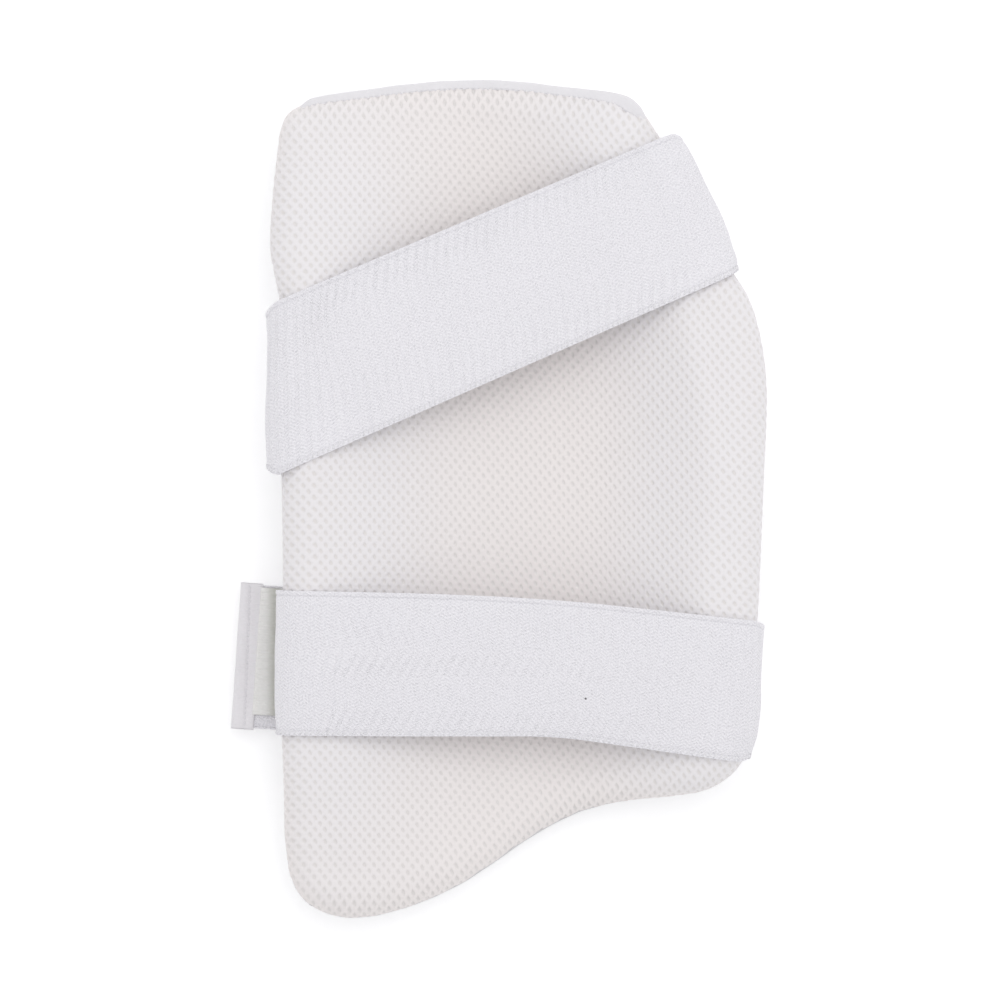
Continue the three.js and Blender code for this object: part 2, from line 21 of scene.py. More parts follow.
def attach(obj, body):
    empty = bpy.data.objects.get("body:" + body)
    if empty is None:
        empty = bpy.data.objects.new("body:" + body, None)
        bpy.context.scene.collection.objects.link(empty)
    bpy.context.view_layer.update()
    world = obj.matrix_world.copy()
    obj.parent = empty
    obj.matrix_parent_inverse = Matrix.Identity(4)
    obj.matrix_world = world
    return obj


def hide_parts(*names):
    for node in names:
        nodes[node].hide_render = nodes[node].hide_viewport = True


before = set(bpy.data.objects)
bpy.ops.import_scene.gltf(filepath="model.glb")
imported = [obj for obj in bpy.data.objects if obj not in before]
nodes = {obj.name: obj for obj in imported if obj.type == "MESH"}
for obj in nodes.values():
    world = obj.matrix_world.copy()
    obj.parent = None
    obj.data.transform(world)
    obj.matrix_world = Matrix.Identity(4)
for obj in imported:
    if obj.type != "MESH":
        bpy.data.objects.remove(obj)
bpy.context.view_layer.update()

scene = bpy.context.scene
print("solids in the frame:", ", ".join(sorted(nodes)))

# %% [markdown]
# ## Photograph and camera
#
# The photograph looks straight down on the guard. One of its pixels covers 0.4536 mm at the
# height of the edge, so a pixel gives a place on the plan. The camera hangs 3.2 m above the edge,
# as with a long studio lens, and its lens is worked out from that height: a closer camera would
# spread the pad over the tab beside it, and a parallel one would look like a drawing.

# %% Hang the camera
MM = 0.001
pixel = 0.4536 * MM
photo_side = 1000
edge_height = 25 * MM
camera_height = 3.2

# The pixel over the frame's origin, and the one that the camera looks at.
origin_pixel = (498.57, 499)
aim_pixel = (501, 500)


def from_photo(across, down):
    """Place on the plan, in metres, of a pixel of the photograph."""
    return (across - origin_pixel[0]) * pixel, (origin_pixel[1] - down) * pixel


camera_lens = bpy.data.cameras.new("camera")
camera_lens.lens = camera_lens.sensor_width * camera_height / (photo_side * pixel)
camera = bpy.data.objects.new("camera", camera_lens)
camera.location = (*from_photo(*aim_pixel), edge_height + camera_height)
scene.collection.objects.link(camera)
scene.camera = camera
print(f"camera {camera_height:.1f} m above the edge, lens {camera_lens.lens:.0f} mm")

# %% [markdown]
# ## Floor and light
#
# White cloth on a white floor is all in the light. A bright, slightly cool world fills every
# shadow, as the walls of a light tent do, and one wide lamp from the top right gives the hollow
# its soft shade. The floor glows a little, so it burns out to plain white as in the photograph
# and keeps only the faint shadow beside the pad. The Standard view keeps the whites as they are
# measured, where AgX would grey them.

# %% Light the scene
scene.view_settings.view_transform = "Standard"
scene.view_settings.look = "None"
world = bpy.data.worlds.new("light tent")
world.use_nodes = True
backdrop = world.node_tree.nodes["Background"]
backdrop.inputs["Color"].default_value = (0.985, 0.985, 1.0, 1)
backdrop.inputs["Strength"].default_value = 0.745
scene.world = world


def lamp(name, place, target, size, power):
    """A wide soft square lamp that faces a point."""
    light = bpy.data.lights.new(name, "AREA")
    light.size = size
    light.energy = power
    made = bpy.data.objects.new(name, light)
    made.location = place
    aim = Vector(target) - Vector(place)
    made.rotation_euler = aim.to_track_quat("-Z", "Y").to_euler()
    scene.collection.objects.link(made)
    print(f"{name}: {size:.1f} m wide, {power:.1f} W")


lamp("key_lamp", (0.18, 0.45, 1.65), (0, 0, 0.02), 1.7, 9.8)


def smooth_faces(mesh):
    """Shades every face of a mesh smoothly."""
    mesh.polygons.foreach_set("use_smooth", [True] * len(mesh.polygons))


def finished_piece(name, made):
    """A new object with the mesh of a bmesh, which is freed."""
    mesh = bpy.data.meshes.new(name)
    made.to_mesh(mesh)
    made.free()
    smooth_faces(mesh)
    piece = bpy.data.objects.new(name, mesh)
    scene.collection.objects.link(piece)
    return piece


floor_mesh = bmesh.new()
bmesh.ops.create_grid(floor_mesh, x_segments=2, y_segments=2, size=4)
floor = finished_piece("floor", floor_mesh)

# %% [markdown]
# ## Materials from nodes
#
# Every finish here is white or nearly so, and the difference is in the surface. So each material
# is a small graph: a pattern at its real size gives the bump, and the same pattern tints the
# colour a little. These helpers keep the graphs short to write.

# %% Write node graphs briefly
def add(graph, kind, settings=None, **inputs):
    """A new node. A value is set on its socket, and another node's socket is linked to it."""
    made = graph.nodes.new("ShaderNode" + kind)
    for name, value in (settings or {}).items():
        setattr(made, name, value)
    for name, value in inputs.items():
        socket = made.inputs[name.replace("_", " ")]
        if isinstance(value, bpy.types.NodeSocket):
            graph.links.new(value, socket)
        else:
            socket.default_value = value
    return made


def calculate(graph, operation, *terms):
    """The result of a Math node."""
    made = graph.nodes.new("ShaderNodeMath")
    made.operation = operation
    for socket, term in zip(made.inputs, terms):
        if isinstance(term, bpy.types.NodeSocket):
            graph.links.new(term, socket)
        else:
            socket.default_value = term
    return made.outputs[0]


def fade(graph, value, low, high, start=0.0, end=1.0):
    """A value eased from start to end as it goes from low to high."""
    made = add(graph, "MapRange", {"interpolation_type": "SMOOTHSTEP"}, Value=value)
    for name, number in (("From Min", low), ("From Max", high), ("To Min", start), ("To Max", end)):
        made.inputs[name].default_value = number
    return made.outputs["Result"]


def blend_colours(graph, share, first, second):
    """The first colour where share is 0 and the second where it is 1."""
    made = graph.nodes.new("ShaderNodeMix")
    made.data_type = "RGBA"
    for index, value in ((0, share), (6, first), (7, second)):
        if isinstance(value, bpy.types.NodeSocket):
            graph.links.new(value, made.inputs[index])
        else:
            made.inputs[index].default_value = value
    return made.outputs[2]


def raised(graph, height, depth, under=None):
    """Surface direction of a relief that is depth metres high."""
    bump = add(graph, "Bump", Height=height, Distance=depth)
    if under:
        graph.links.new(under, bump.inputs["Normal"])
    return bump.outputs["Normal"]


def cloth_material(name, roughness, sheen):
    """A new material with its cloth shader, and its graph to add to."""
    material = bpy.data.materials.new(name)
    material.use_nodes = True
    graph = material.node_tree
    shader = graph.nodes["Principled BSDF"]
    shader.inputs["Roughness"].default_value = roughness
    shader.inputs["Sheen Weight"].default_value = sheen
    shader.inputs["Sheen Roughness"].default_value = 0.6
    shader.inputs["Specular IOR Level"].default_value = 0.25
    return material, graph, shader


def along_cloth(graph):
    """A piece's own UV map, which is in metres on a sheet."""
    return add(graph, "UVMap", {"uv_map": "UVMap"}).outputs["UV"]


def in_space(graph):
    """The place on the object."""
    return add(graph, "TexCoord").outputs["Object"]


# %% Burn the floor out to white
floor_white, graph, shader = cloth_material("floor_white", 0.9, 0.0)
shader.inputs["Base Color"].default_value = (0.93, 0.93, 0.93, 1)
shader.inputs["Emission Color"].default_value = (1, 1, 1, 1)
shader.inputs["Emission Strength"].default_value = 0.22
floor.data.materials.append(floor_white)
print("floor glow:", round(shader.inputs["Emission Strength"].default_value, 2))

# %% [markdown]
# ## Soft form of the foam
#
# The foam core is one moulded block, and it is hidden by the skins. But the skins take their
# shape from it, so it comes first. The CAD solid is faceted: the Remesh modifier wraps it in an
# even net of small squares, and a few rounds of smoothing take the facets away. Subdividing the
# CAD triangles instead would keep their uneven pattern as ripples in the cloth.

# %% Round the foam core
voxel = 4 * MM


def merged_copy(node):
    """A bmesh of a CAD node, its loose triangles joined at their corners."""
    made = bmesh.new()
    made.from_mesh(nodes[node].data)
    bmesh.ops.remove_doubles(made, verts=made.verts, dist=0.01 * MM)
    return made


def apply_modifiers(piece):
    """Makes the result of a piece's modifiers its own mesh."""
    settled = piece.evaluated_get(bpy.context.evaluated_depsgraph_get())
    mesh = bpy.data.meshes.new_from_object(settled)
    piece.modifiers.clear()
    piece.data = mesh
    smooth_faces(mesh)


def smoothing(piece, rounds):
    """Eases a piece's vertices towards their neighbours."""
    easing = piece.modifiers.new("easing", "SMOOTH")
    easing.factor = 0.5
    easing.iterations = rounds


core = finished_piece("foam_core", merged_copy("foam_pad"))
net = core.modifiers.new("net", "REMESH")
net.mode = "VOXEL"
net.voxel_size = voxel
smoothing(core, 8)
apply_modifiers(core)
print("foam core:", len(core.data.polygons), "faces")

# %% [markdown]
# ## Swell the padding
#
# Padding in a tight bag is never quite as flat as its mould. A short cloth simulation with air
# pressure inside and no gravity makes the block swell as a stuffed bag does. It is moulded foam,
# so no point may move more than a millimetre, or the hollow would fill up. Moving all points out
# by one distance would be quicker, but it swells the firm rim as much as the free middle.

# %% Swell the foam core
swell_limit = 1.0 * MM


def positions(mesh):
    """All vertex places of a mesh."""
    found = np.empty(len(mesh.vertices) * 3)
    mesh.vertices.foreach_get("co", found)
    return found.reshape(-1, 3)


air = core.modifiers.new("air", "CLOTH")
air.settings.use_pressure = True
air.settings.uniform_pressure_force = 4
air.settings.effector_weights.gravity = 0
for moment in range(1, 21):
    scene.frame_set(moment)
swollen = core.evaluated_get(bpy.context.evaluated_depsgraph_get())
still = positions(core.data)
moved = positions(swollen.data) - still
gone = np.linalg.norm(moved, axis=1)[:, None]
print(f"padding would swell {gone.max() / MM:.1f} mm, and may by {swell_limit / MM:.1f} mm")
moved *= np.minimum(1, swell_limit / np.maximum(gone, 0.001 * MM))
core.modifiers.clear()
core.data.vertices.foreach_set("co", (still + moved).ravel())
scene.frame_set(1)
smoothing(core, 2)
apply_modifiers(core)

# %% [markdown]
# ## Measuring the skin
#
# Cloth that is stretched over a block goes straight across its face and then turns over the
# edge. So the skin is measured in two ways. Inside a line 9 mm from the edge, a point of the
# plan is simply dropped on the foam. Outside that line, a point walks: it starts on the line and
# follows the foam outwards, over the edge and under, for as long as it is far from the line.

# %% Find the outline seen from above
form_mesh = bmesh.new()
form_mesh.from_mesh(core.data)
form = BVHTree.FromBMesh(form_mesh)
form_mesh.free()

pad_middle = Vector(from_photo(470, 520))
outline_points = 720
edge_inset = 9 * MM
above_all, below_all = 0.2, -0.1
down, up = Vector((0, 0, -1)), Vector((0, 0, 1))


def reach(angle):
    """How far the foam goes from its middle in one direction."""
    near, far = 0.0, 0.3
    for _ in range(18):
        tried = (near + far) / 2
        x = pad_middle.x + tried * math.cos(angle)
        y = pad_middle.y + tried * math.sin(angle)
        if form.ray_cast((x, y, above_all), down)[0]:
            near = tried
        else:
            far = tried
    return near


def evenly_spaced(ring, count):
    """A closed ring read at equal distances."""
    closed = np.vstack([ring, ring[:1]])
    travelled = np.concatenate([[0], np.cumsum(np.linalg.norm(np.diff(closed, axis=0), axis=1))])
    wanted = np.linspace(0, travelled[-1], count, endpoint=False)
    return np.stack([np.interp(wanted, travelled, closed[:, k]) for k in range(closed.shape[1])], 1)


def eased_ring(ring, rounds):
    """A closed ring, each point moved towards its neighbours."""
    for _ in range(rounds):
        ring = 0.5 * ring + 0.25 * (np.roll(ring, 1, axis=0) + np.roll(ring, -1, axis=0))
    return ring


angles = np.linspace(0, math.tau, outline_points, endpoint=False)
outline = np.array([
    (pad_middle.x + reach(a) * math.cos(a), pad_middle.y + reach(a) * math.sin(a))
    for a in angles
])
outline = eased_ring(evenly_spaced(outline, outline_points), 6)
along = np.roll(outline, -1, axis=0) - np.roll(outline, 1, axis=0)
outward = np.stack([along[:, 1], -along[:, 0]], 1)
outward = eased_ring(outward / np.linalg.norm(outward, axis=1)[:, None], 10)
outward /= np.linalg.norm(outward, axis=1)[:, None]
contour = eased_ring(outline - edge_inset * outward, 4)
print("outline:", np.ptp(outline, axis=0) / MM, "mm")

# %% Walk over the edge
stride = 1 * MM
walk_steps = 64


def walk(start, ahead):
    """Points and normals on the foam from a place on the plan, over the edge and round."""
    heading = Vector((ahead[0], ahead[1], 0))
    across = heading.cross(up)
    spot, normal = form.ray_cast((start[0], start[1], above_all), down)[:2]
    spots, normals = [], []
    for _ in range(walk_steps):
        spots.append(spot)
        flat = (normal - across * normal.dot(across)).normalized()
        normals.append(flat)
        turned = across.cross(flat)
        heading = turned if turned.dot(heading) > 0 else -turned
        found, met = form.find_nearest(spot + heading * stride)[:2]
        spot, normal = found - across * (found - spot).dot(across), met
    return spots, normals


def edge_walks():
    """The walks from every point of the contour, eased along the edge and along each walk."""
    walks = [walk(start, ahead) for start, ahead in zip(contour, outward)]
    spots = eased_ring(np.array([w[0] for w in walks], float), 8)
    normals = eased_ring(np.array([w[1] for w in walks], float), 12)
    for grid in (spots, normals):
        for _ in range(3):
            grid[:, 1:-1] = 0.5 * grid[:, 1:-1] + 0.25 * (grid[:, 2:] + grid[:, :-2])
    return spots, normals / np.linalg.norm(normals, axis=2)[:, :, None]


walk_spots, walk_normals = edge_walks()

# The side seam runs where the skin has turned under so far that its direction out has this Z.
seam_lean = -0.48
seam_step = np.argmax(walk_normals[:, :, 2] < seam_lean, axis=1).astype(float)
seam_step = eased_ring(seam_step[:, None], 40)[:, 0]
print("walks reach the seam after", seam_step.min(), "to", seam_step.max(), "mm")

# %% [markdown]
# ## Filling the skin out
#
# Remeshing and smoothing pull the foam's edge in, most where it is sharp. The real skins are cut
# to size, so they must reach the outline that the solids have. At each point of the edge both
# reaches are measured, and the difference is added to the skin's height over 16 mm. Scaling the
# whole skin up would be simpler, but it would move the straight sides as much as the corners.

# %% Measure how far the cloth stands off the eased foam
lining_lift = 2.4 * MM
hem_lift = 0.9 * MM
most_gain = 7 * MM
gain_run = 16 * MM

# A pixel of the outline, across and down, and the width of the hem there in mm.
hem_width_table = (
    (648, 118, 2.6),
    (636, 100, 6.0),
    (619, 93, 4.6),
    (590, 89, 3.8),
    (450, 80, 3.4),
    (335, 93, 3.2),
    (297, 104, 2.4),
)
skin_solids = bmesh.new()
for node in ("mesh_lining", "outer_cover", "top_hem"):
    skin_solids.from_mesh(nodes[node].data)
skin_form = BVHTree.FromBMesh(skin_solids)
skin_solids.free()


def ring_place(across, down):
    """The place along the contour that is nearest to a pixel of the outline."""
    gap = outline - np.array(from_photo(across, down))
    return int(np.argmin((gap ** 2).sum(1)))


def solid_reach(index):
    """How far the solids' own skin goes outside one point of the contour."""
    near, far = 4 * MM, 22 * MM
    for _ in range(12):
        tried = (near + far) / 2
        x, y = contour[index] + outward[index] * tried
        if skin_form.ray_cast((x, y, above_all), down)[0]:
            near = tried
        else:
            far = tried
    return near


def read_ring(values, place):
    """A value of the ring between its points, all the way round."""
    return np.interp(place, np.arange(outline_points + 1), np.append(values, values[0]))


foam_reach = ((walk_spots[:, :, :2] - contour[:, None]) * outward[:, None]).sum(2).max(1)
skin_reach = np.array([solid_reach(index) for index in range(outline_points)])
hem_places = [ring_place(px, py) for px, py, _ in hem_width_table]
hemmed = np.zeros(outline_points)
hemmed[hem_places[0]:hem_places[-1]] = hem_lift
edge_gain = np.clip(skin_reach - foam_reach - lining_lift - hemmed, 0, most_gain)
edge_gain = eased_ring(edge_gain[:, None], 3)[:, 0]
print(f"the skin is {edge_gain.min() / MM:.1f} to {edge_gain.max() / MM:.1f} mm fuller at the edge")


def fullness(place, distance):
    """How much fuller than the eased foam the skin is towards the edge."""
    share = np.clip(np.asarray(distance) / gain_run + 0.5, 0, 1)
    return read_ring(edge_gain, place) * share * share * (3 - 2 * share)


# %% Place points on the skin
def beside_contour(plan):
    """For each plan point: its place along the contour and its distance outside it."""
    gaps = plan[:, None, :] - contour[None, :, :]
    nearest = np.argmin((gaps ** 2).sum(2), axis=1)
    gap = plan - contour[nearest]
    tangent = np.stack([-outward[nearest, 1], outward[nearest, 0]], 1)
    spacing = np.linalg.norm(contour[1] - contour[0])
    place = nearest + np.clip((gap * tangent).sum(1) / spacing, -0.5, 0.5)
    return place % outline_points, (gap * outward[nearest]).sum(1)


def read_walk(grid, place, distance):
    """A walk's value at a place along the contour and a distance outside it."""
    column = np.clip(distance / stride, 0, walk_steps - 1.001)
    i, k = np.floor(place).astype(int), np.floor(column).astype(int)
    a, b = (place - i)[:, None], (column - k)[:, None]
    i, j = i % outline_points, (i + 1) % outline_points
    near = (1 - a) * grid[i, k] + a * grid[j, k]
    far = (1 - a) * grid[i, k + 1] + a * grid[j, k + 1]
    return (1 - b) * near + b * far


def dropped(x, y, from_below=False):
    """The foam straight under a plan point, or straight over it from below."""
    if from_below:
        return form.ray_cast((x, y, below_all), up)[:2]
    return form.ray_cast((x, y, above_all), down)[:2]


# %% [markdown]
# ## Air mesh lining
#
# Air mesh is a warp knit with rows of small open cells, each row half a cell along from the last.
# The photograph gives the cells: 4.3 mm apart in a row and 2.7 mm from row to row. A grid of
# diamonds has just this order. It is laid out flat as cloth, with the droop that its rows have in
# the photograph, then dropped on the foam and turned over its edge, so the cells stay even on
# the face and bunch up in the view where the cloth turns down. A picture of holes or a bump
# would look flat from the side. The diamonds are real: each is inset twice and its middle sunk.

# %% Lay out the knit flat
cell_pitch = 9.5 * pixel
row_pitch = 5.9 * pixel
knit_cells = 240
knit_shift = (2 * MM, -10 * MM)
knit_limit = (0.15, 0.30)
lining_wall = 1.9 * MM
tuck = 3.5 * MM

# A pixel across and the slope of the rows there in degrees.
droop_table = ((250, 0), (350, 0), (430, 4), (520, 8.5), (600, 12), (780, 9))


def droop(x):
    """How far a row of cells has sunk at a place across the pad."""
    stations = np.array([from_photo(px, 0)[0] for px, _ in droop_table])
    slopes = np.tan(np.radians([angle for _, angle in droop_table]))
    fine = np.linspace(stations[0], stations[-1], 400)
    slope = np.interp(fine, stations, slopes)
    sunk = np.concatenate([[0], np.cumsum(0.5 * (slope[1:] + slope[:-1]) * np.diff(fine))])
    return np.interp(x, fine, sunk)


def flat_knit():
    """A flat grid of diamond cells that is larger than the pad."""
    made = bmesh.new()
    cell_uv = made.loops.layers.uv.new("UVMap")
    bmesh.ops.create_grid(made, x_segments=knit_cells, y_segments=knit_cells, size=knit_cells / 2)
    across = (0.5 * cell_pitch, row_pitch)
    below = (0.5 * cell_pitch, -row_pitch)
    plan = np.array([
        (v.co.x * across[0] + v.co.y * below[0], v.co.x * across[1] + v.co.y * below[1])
        for v in made.verts
    ])
    plan += knit_shift
    plan[:, 1] -= droop(plan[:, 0])
    for vertex, (x, y) in zip(made.verts, plan):
        vertex.co = (x, y, 0)
    for face in made.faces:
        for loop, corner in zip(face.loops, ((0, 0), (1, 0), (1, 1), (0, 1))):
            loop[cell_uv].uv = corner
    return made


knit = flat_knit()
outside = [v for v in knit.verts if abs(v.co.x) > knit_limit[0] or abs(v.co.y) > knit_limit[1]]
bmesh.ops.delete(knit, geom=outside, context="VERTS")
plan = np.array([v.co.to_tuple()[:2] for v in knit.verts])
place, distance = beside_contour(plan)
seam_here = read_ring(seam_step, place)
beyond = distance > seam_here * stride + tuck
bmesh.ops.delete(knit, geom=[v for v, out in zip(knit.verts, beyond) if out], context="VERTS")
bmesh.ops.delete(knit, geom=[v for v in knit.verts if not v.link_faces], context="VERTS")
print("knit:", len(knit.faces), "cells")

# %% Drop the knit on the foam
tuck_start, tuck_run, tuck_depth = 1 * MM, 2.5 * MM, 2 * MM
plan = np.array([v.co.to_tuple()[:2] for v in knit.verts])
place, distance = beside_contour(plan)
seam_here = read_ring(seam_step, place)
over_edge = read_walk(walk_spots, place, distance)
over_normal = read_walk(walk_normals, place, distance)
fuller = fullness(place, distance)
for index, vertex in enumerate(knit.verts):
    if distance[index] > 0:
        spot, normal = Vector(over_edge[index]), Vector(over_normal[index]).normalized()
    else:
        spot, normal = dropped(vertex.co.x, vertex.co.y)
    past_seam = distance[index] - (seam_here[index] * stride - tuck_start)
    sink = min(1.0, max(0.0, past_seam / tuck_run)) * tuck_depth
    vertex.co = spot + normal * (lining_lift + fuller[index] - sink)
bmesh.ops.smooth_vert(
    knit, verts=[v for v in knit.verts if not v.is_boundary], factor=0.5,
    use_axis_x=False, use_axis_y=False, use_axis_z=True)
bmesh.ops.recalc_face_normals(knit, faces=knit.faces)
if sum(f.normal.z for f in knit.faces) < 0:
    bmesh.ops.reverse_faces(knit, faces=knit.faces)
print("knit dropped:", len(knit.verts), "corners")

# %% Sink the cells
outer_cells = list(knit.faces)
walled = bmesh.ops.solidify(knit, geom=outer_cells, thickness=lining_wall)
added = [f for f in walled["geom"] if isinstance(f, bmesh.types.BMFace)]
sheets = sorted((outer_cells, added), key=lambda s: sum(f.calc_center_median().z for f in s))
cells = [f for f in sheets[1] if len(f.verts) == 4]
bmesh.ops.inset_individual(knit, faces=cells, thickness=0.6 * MM, use_even_offset=True,
                           use_interpolate=True)
bmesh.ops.inset_individual(knit, faces=cells, thickness=0.45 * MM, depth=-0.22 * MM,
                           use_even_offset=True, use_interpolate=True)
bmesh.ops.recalc_face_normals(knit, faces=knit.faces)
lining = finished_piece("air_mesh_lining", knit)
print("lining:", len(cells), "cells,", len(lining.data.polygons), "faces")

# %% Finish the air mesh
air_mesh, graph, shader = cloth_material("air_mesh", 0.8, 0.12)
cell_uv = along_cloth(graph)
parts = add(graph, "SeparateXYZ", Vector=cell_uv)
u = calculate(graph, "SUBTRACT", parts.outputs["X"], 0.5)
v = calculate(graph, "SUBTRACT", parts.outputs["Y"], 0.5)
wide = calculate(graph, "ADD", u, v)
tall = calculate(graph, "SUBTRACT", u, v)
wide = calculate(graph, "ADD", wide, calculate(graph, "MULTIPLY", tall, 0.3))
wide = calculate(graph, "MULTIPLY", wide, 1.25)
from_middle = calculate(graph, "SQRT", calculate(
    graph, "ADD", calculate(graph, "MULTIPLY", wide, wide),
    calculate(graph, "MULTIPLY", tall, tall)))
hole = fade(graph, from_middle, 0.20, 0.58, 1.0, 0.0)
grain = in_space(graph)
fuzz = add(graph, "TexNoise", Vector=grain, Scale=1800.0, Detail=2.0).outputs["Fac"]
drift = add(graph, "TexNoise", Vector=grain, Scale=14.0, Detail=2.0).outputs["Fac"]
# Low in the hollow the thread is tinted warmer. This is partly painted warm bounce light of the
# hollow and partly the cream foam showing through the mesh.
depth = add(graph, "SeparateXYZ", Vector=grain).outputs["Z"]
hollow = fade(graph, depth, 24 * MM, 42 * MM, 1.0, 0.0)
thread = blend_colours(graph, drift, (0.835, 0.81, 0.82, 1), (0.865, 0.845, 0.855, 1))
thread = blend_colours(graph, hollow, thread, (0.87, 0.825, 0.81, 1))
# The holes are painted a darker grey. This is painted shade in the holes, over the backing that
# shows through them.
shaded_backing = blend_colours(graph, drift, (0.76, 0.725, 0.71, 1), (0.79, 0.765, 0.75, 1))
graph.links.new(blend_colours(graph, hole, thread, shaded_backing), shader.inputs["Base Color"])
relief = raised(graph, fuzz, 0.06 * MM)
rib = calculate(graph, "ABSOLUTE", v)
knit_height = calculate(graph, "ADD", calculate(graph, "SUBTRACT", 1.0, hole), rib)
relief = raised(graph, knit_height, 0.13 * MM, relief)
graph.links.new(relief, shader.inputs["Normal"])
lining.data.materials.append(air_mesh)
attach(lining, "root")
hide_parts("mesh_lining")
print("air mesh:", len(graph.nodes), "nodes")

# %% [markdown]
# ## Foam
#
# The foam can't be seen, but the bag is not empty, so the core stays and has the look of cream
# foam with small pores. Voronoi cells make the pores. Noise would give a cloudy surface without
# any cell walls.

# %% Finish the foam
foam, graph, shader = cloth_material("foam", 0.95, 0.0)
grain = in_space(graph)
pores = add(graph, "TexVoronoi", Vector=grain, Scale=1100.0).outputs["Distance"]
shade = blend_colours(graph, pores, (0.72, 0.69, 0.62, 1), (0.82, 0.80, 0.74, 1))
graph.links.new(shade, shader.inputs["Base Color"])
graph.links.new(raised(graph, pores, 0.3 * MM), shader.inputs["Normal"])
core.data.materials.append(foam)
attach(core, "root")
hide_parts("foam_pad")
print("foam:", len(graph.nodes), "nodes")

# %% [markdown]
# ## Outer cover
#
# The outer skin is plain smooth cloth. It comes up from below, laps over the cut edge of the mesh
# and is stitched to it all round. Rings suit it: each ring follows the edge of the pad, the first
# one is the turned edge of the cloth, and the rings close in on the middle of the underside.

# %% Wrap the cover
cover_lift = 1.7 * MM
lap = 3 * MM
cover_columns = 360
under_rings = 16


def add_wall(piece, thickness):
    """Gives a sheet its thickness, on the side away from its face."""
    wall = piece.modifiers.new("wall", "SOLIDIFY")
    wall.thickness = thickness
    wall.offset = -1
    return wall


def add_rounding(piece, width):
    """Rounds the edges of a piece a little."""
    rounding = piece.modifiers.new("rounding", "BEVEL")
    rounding.width = width
    rounding.segments = 2
    return rounding


def ring_sheet(name, rings):
    """A sheet of rings that starts at its rim, with a UV map in metres."""
    ring_count, columns = rings.shape[:2]
    made = bmesh.new()
    sheet_uv = made.loops.layers.uv.new("UVMap")
    bmesh.ops.create_grid(made, x_segments=columns, y_segments=ring_count - 1, size=0.5)
    around = np.linalg.norm(np.diff(rings[0], axis=0), axis=1).sum() / columns
    inward = np.linalg.norm(np.diff(rings.mean(1), axis=0), axis=1)
    reached = np.concatenate([[0], np.cumsum(inward)])
    seat = {}
    for vertex in made.verts:
        i = round((vertex.co.x + 0.5) * columns)
        j = round((vertex.co.y + 0.5) * (ring_count - 1))
        seat[vertex] = (i * around, reached[j])
        vertex.co = rings[j, i % columns]
    for face in made.faces:
        for loop in face.loops:
            loop[sheet_uv].uv = seat[loop.vert]
    bmesh.ops.remove_doubles(made, verts=made.verts, dist=0.005 * MM)
    bmesh.ops.recalc_face_normals(made, faces=made.faces)
    if sum(f.normal.z * f.calc_area() for f in made.faces) > 0:
        bmesh.ops.reverse_faces(made, faces=made.faces)
    return finished_piece(name, made)


# How far from the cloth's cut edge, and how high over the foam there, in mm.
cover_profile = np.array((
    (0, 2.7), (0.5, 2.95), (1.2, 3.05), (2.2, 3.05), (3.0, 2.8), (3.6, 3.1), (4.4, 2.9), (6, 2.4),
    (8, 2.0), (11, 1.7), (15, 1.7), (20, 1.7), (26, 1.7), (33, 1.7),
)) * MM
fullness_run = 34 * MM
columns = np.arange(cover_columns) * outline_points / cover_columns
seam_at = np.interp(columns, np.arange(outline_points), seam_step) * stride
rings = []
for gone, lift in cover_profile:
    distance = seam_at - lap + gone
    spots = read_walk(walk_spots, columns, distance)
    normals = read_walk(walk_normals, columns, distance)
    under = 1 - min(1.0, gone / fullness_run)
    rings.append(spots + normals * (lift + fullness(columns, distance) * under)[:, None])
last = rings[-1]
for share in np.linspace(0, 1, under_rings + 1)[1:]:
    share = share ** 0.9
    plan = last[:, :2] * (1 - share) + np.array(pad_middle) * share
    ring = []
    for x, y in plan:
        spot, normal = dropped(x, y, from_below=True)
        ring.append(spot + normal * cover_lift)
    rings.append(np.array(ring, float))
cover = ring_sheet("outer_cover_cloth", np.array(rings, float))
add_wall(cover, 1.1 * MM)
print("cover:", len(cover.data.polygons), "faces")

cover_cloth, graph, shader = cloth_material("cover_cloth", 0.7, 0.15)
grain = in_space(graph)
weave = add(graph, "TexWave", {"bands_direction": "DIAGONAL"}, Vector=grain, Scale=700.0)
drift = add(graph, "TexNoise", Vector=grain, Scale=30.0, Detail=3.0).outputs["Fac"]
shade = blend_colours(graph, drift, (0.76, 0.755, 0.765, 1), (0.82, 0.815, 0.825, 1))
graph.links.new(shade, shader.inputs["Base Color"])
relief = raised(graph, weave.outputs["Fac"], 0.08 * MM)
graph.links.new(raised(graph, drift, 1.2 * MM, relief), shader.inputs["Normal"])
cover.data.materials.append(cover_cloth)
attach(cover, "root")
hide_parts("outer_cover")

# %% [markdown]
# ## Straps
#
# Each strap is one ribbon of knitted elastic. It is sewn on under the pad, comes round the edge,
# runs over the hollow and goes back under. The CAD ribbon has the right route but only a few
# long faces, so its lines are read from the solid and a fine grid is laid along them. A curve
# with a flat profile would be quicker, but it can't change its slant and width as these do.

# %% Read a ribbon's route from its solid
def firm_line(vertex, edge, firm):
    """Vertices along a line of sharp edges, up to its next corner."""
    met = [vertex]
    while True:
        vertex = edge.other_vert(vertex)
        met.append(vertex)
        onward = [e for e in vertex.link_edges if e in firm and e is not edge]
        if len(onward) != 1:
            return met
        edge = onward[0]


def straight_across(top, bottom):
    """Vertices from one edge of a ribbon to the other, by the fewest edges."""
    steps_left, ring = {bottom: 0}, [bottom]
    while top not in steps_left:
        ring = {e.other_vert(v) for v in ring for e in v.link_edges} - set(steps_left)
        steps_left.update({v: max(steps_left.values()) + 1 for v in ring})
    row = [top]
    while row[-1] is not bottom:
        beside = [e.other_vert(row[-1]) for e in row[-1].link_edges]
        row.append(min(beside, key=lambda v: steps_left.get(v, 99)))
    return row


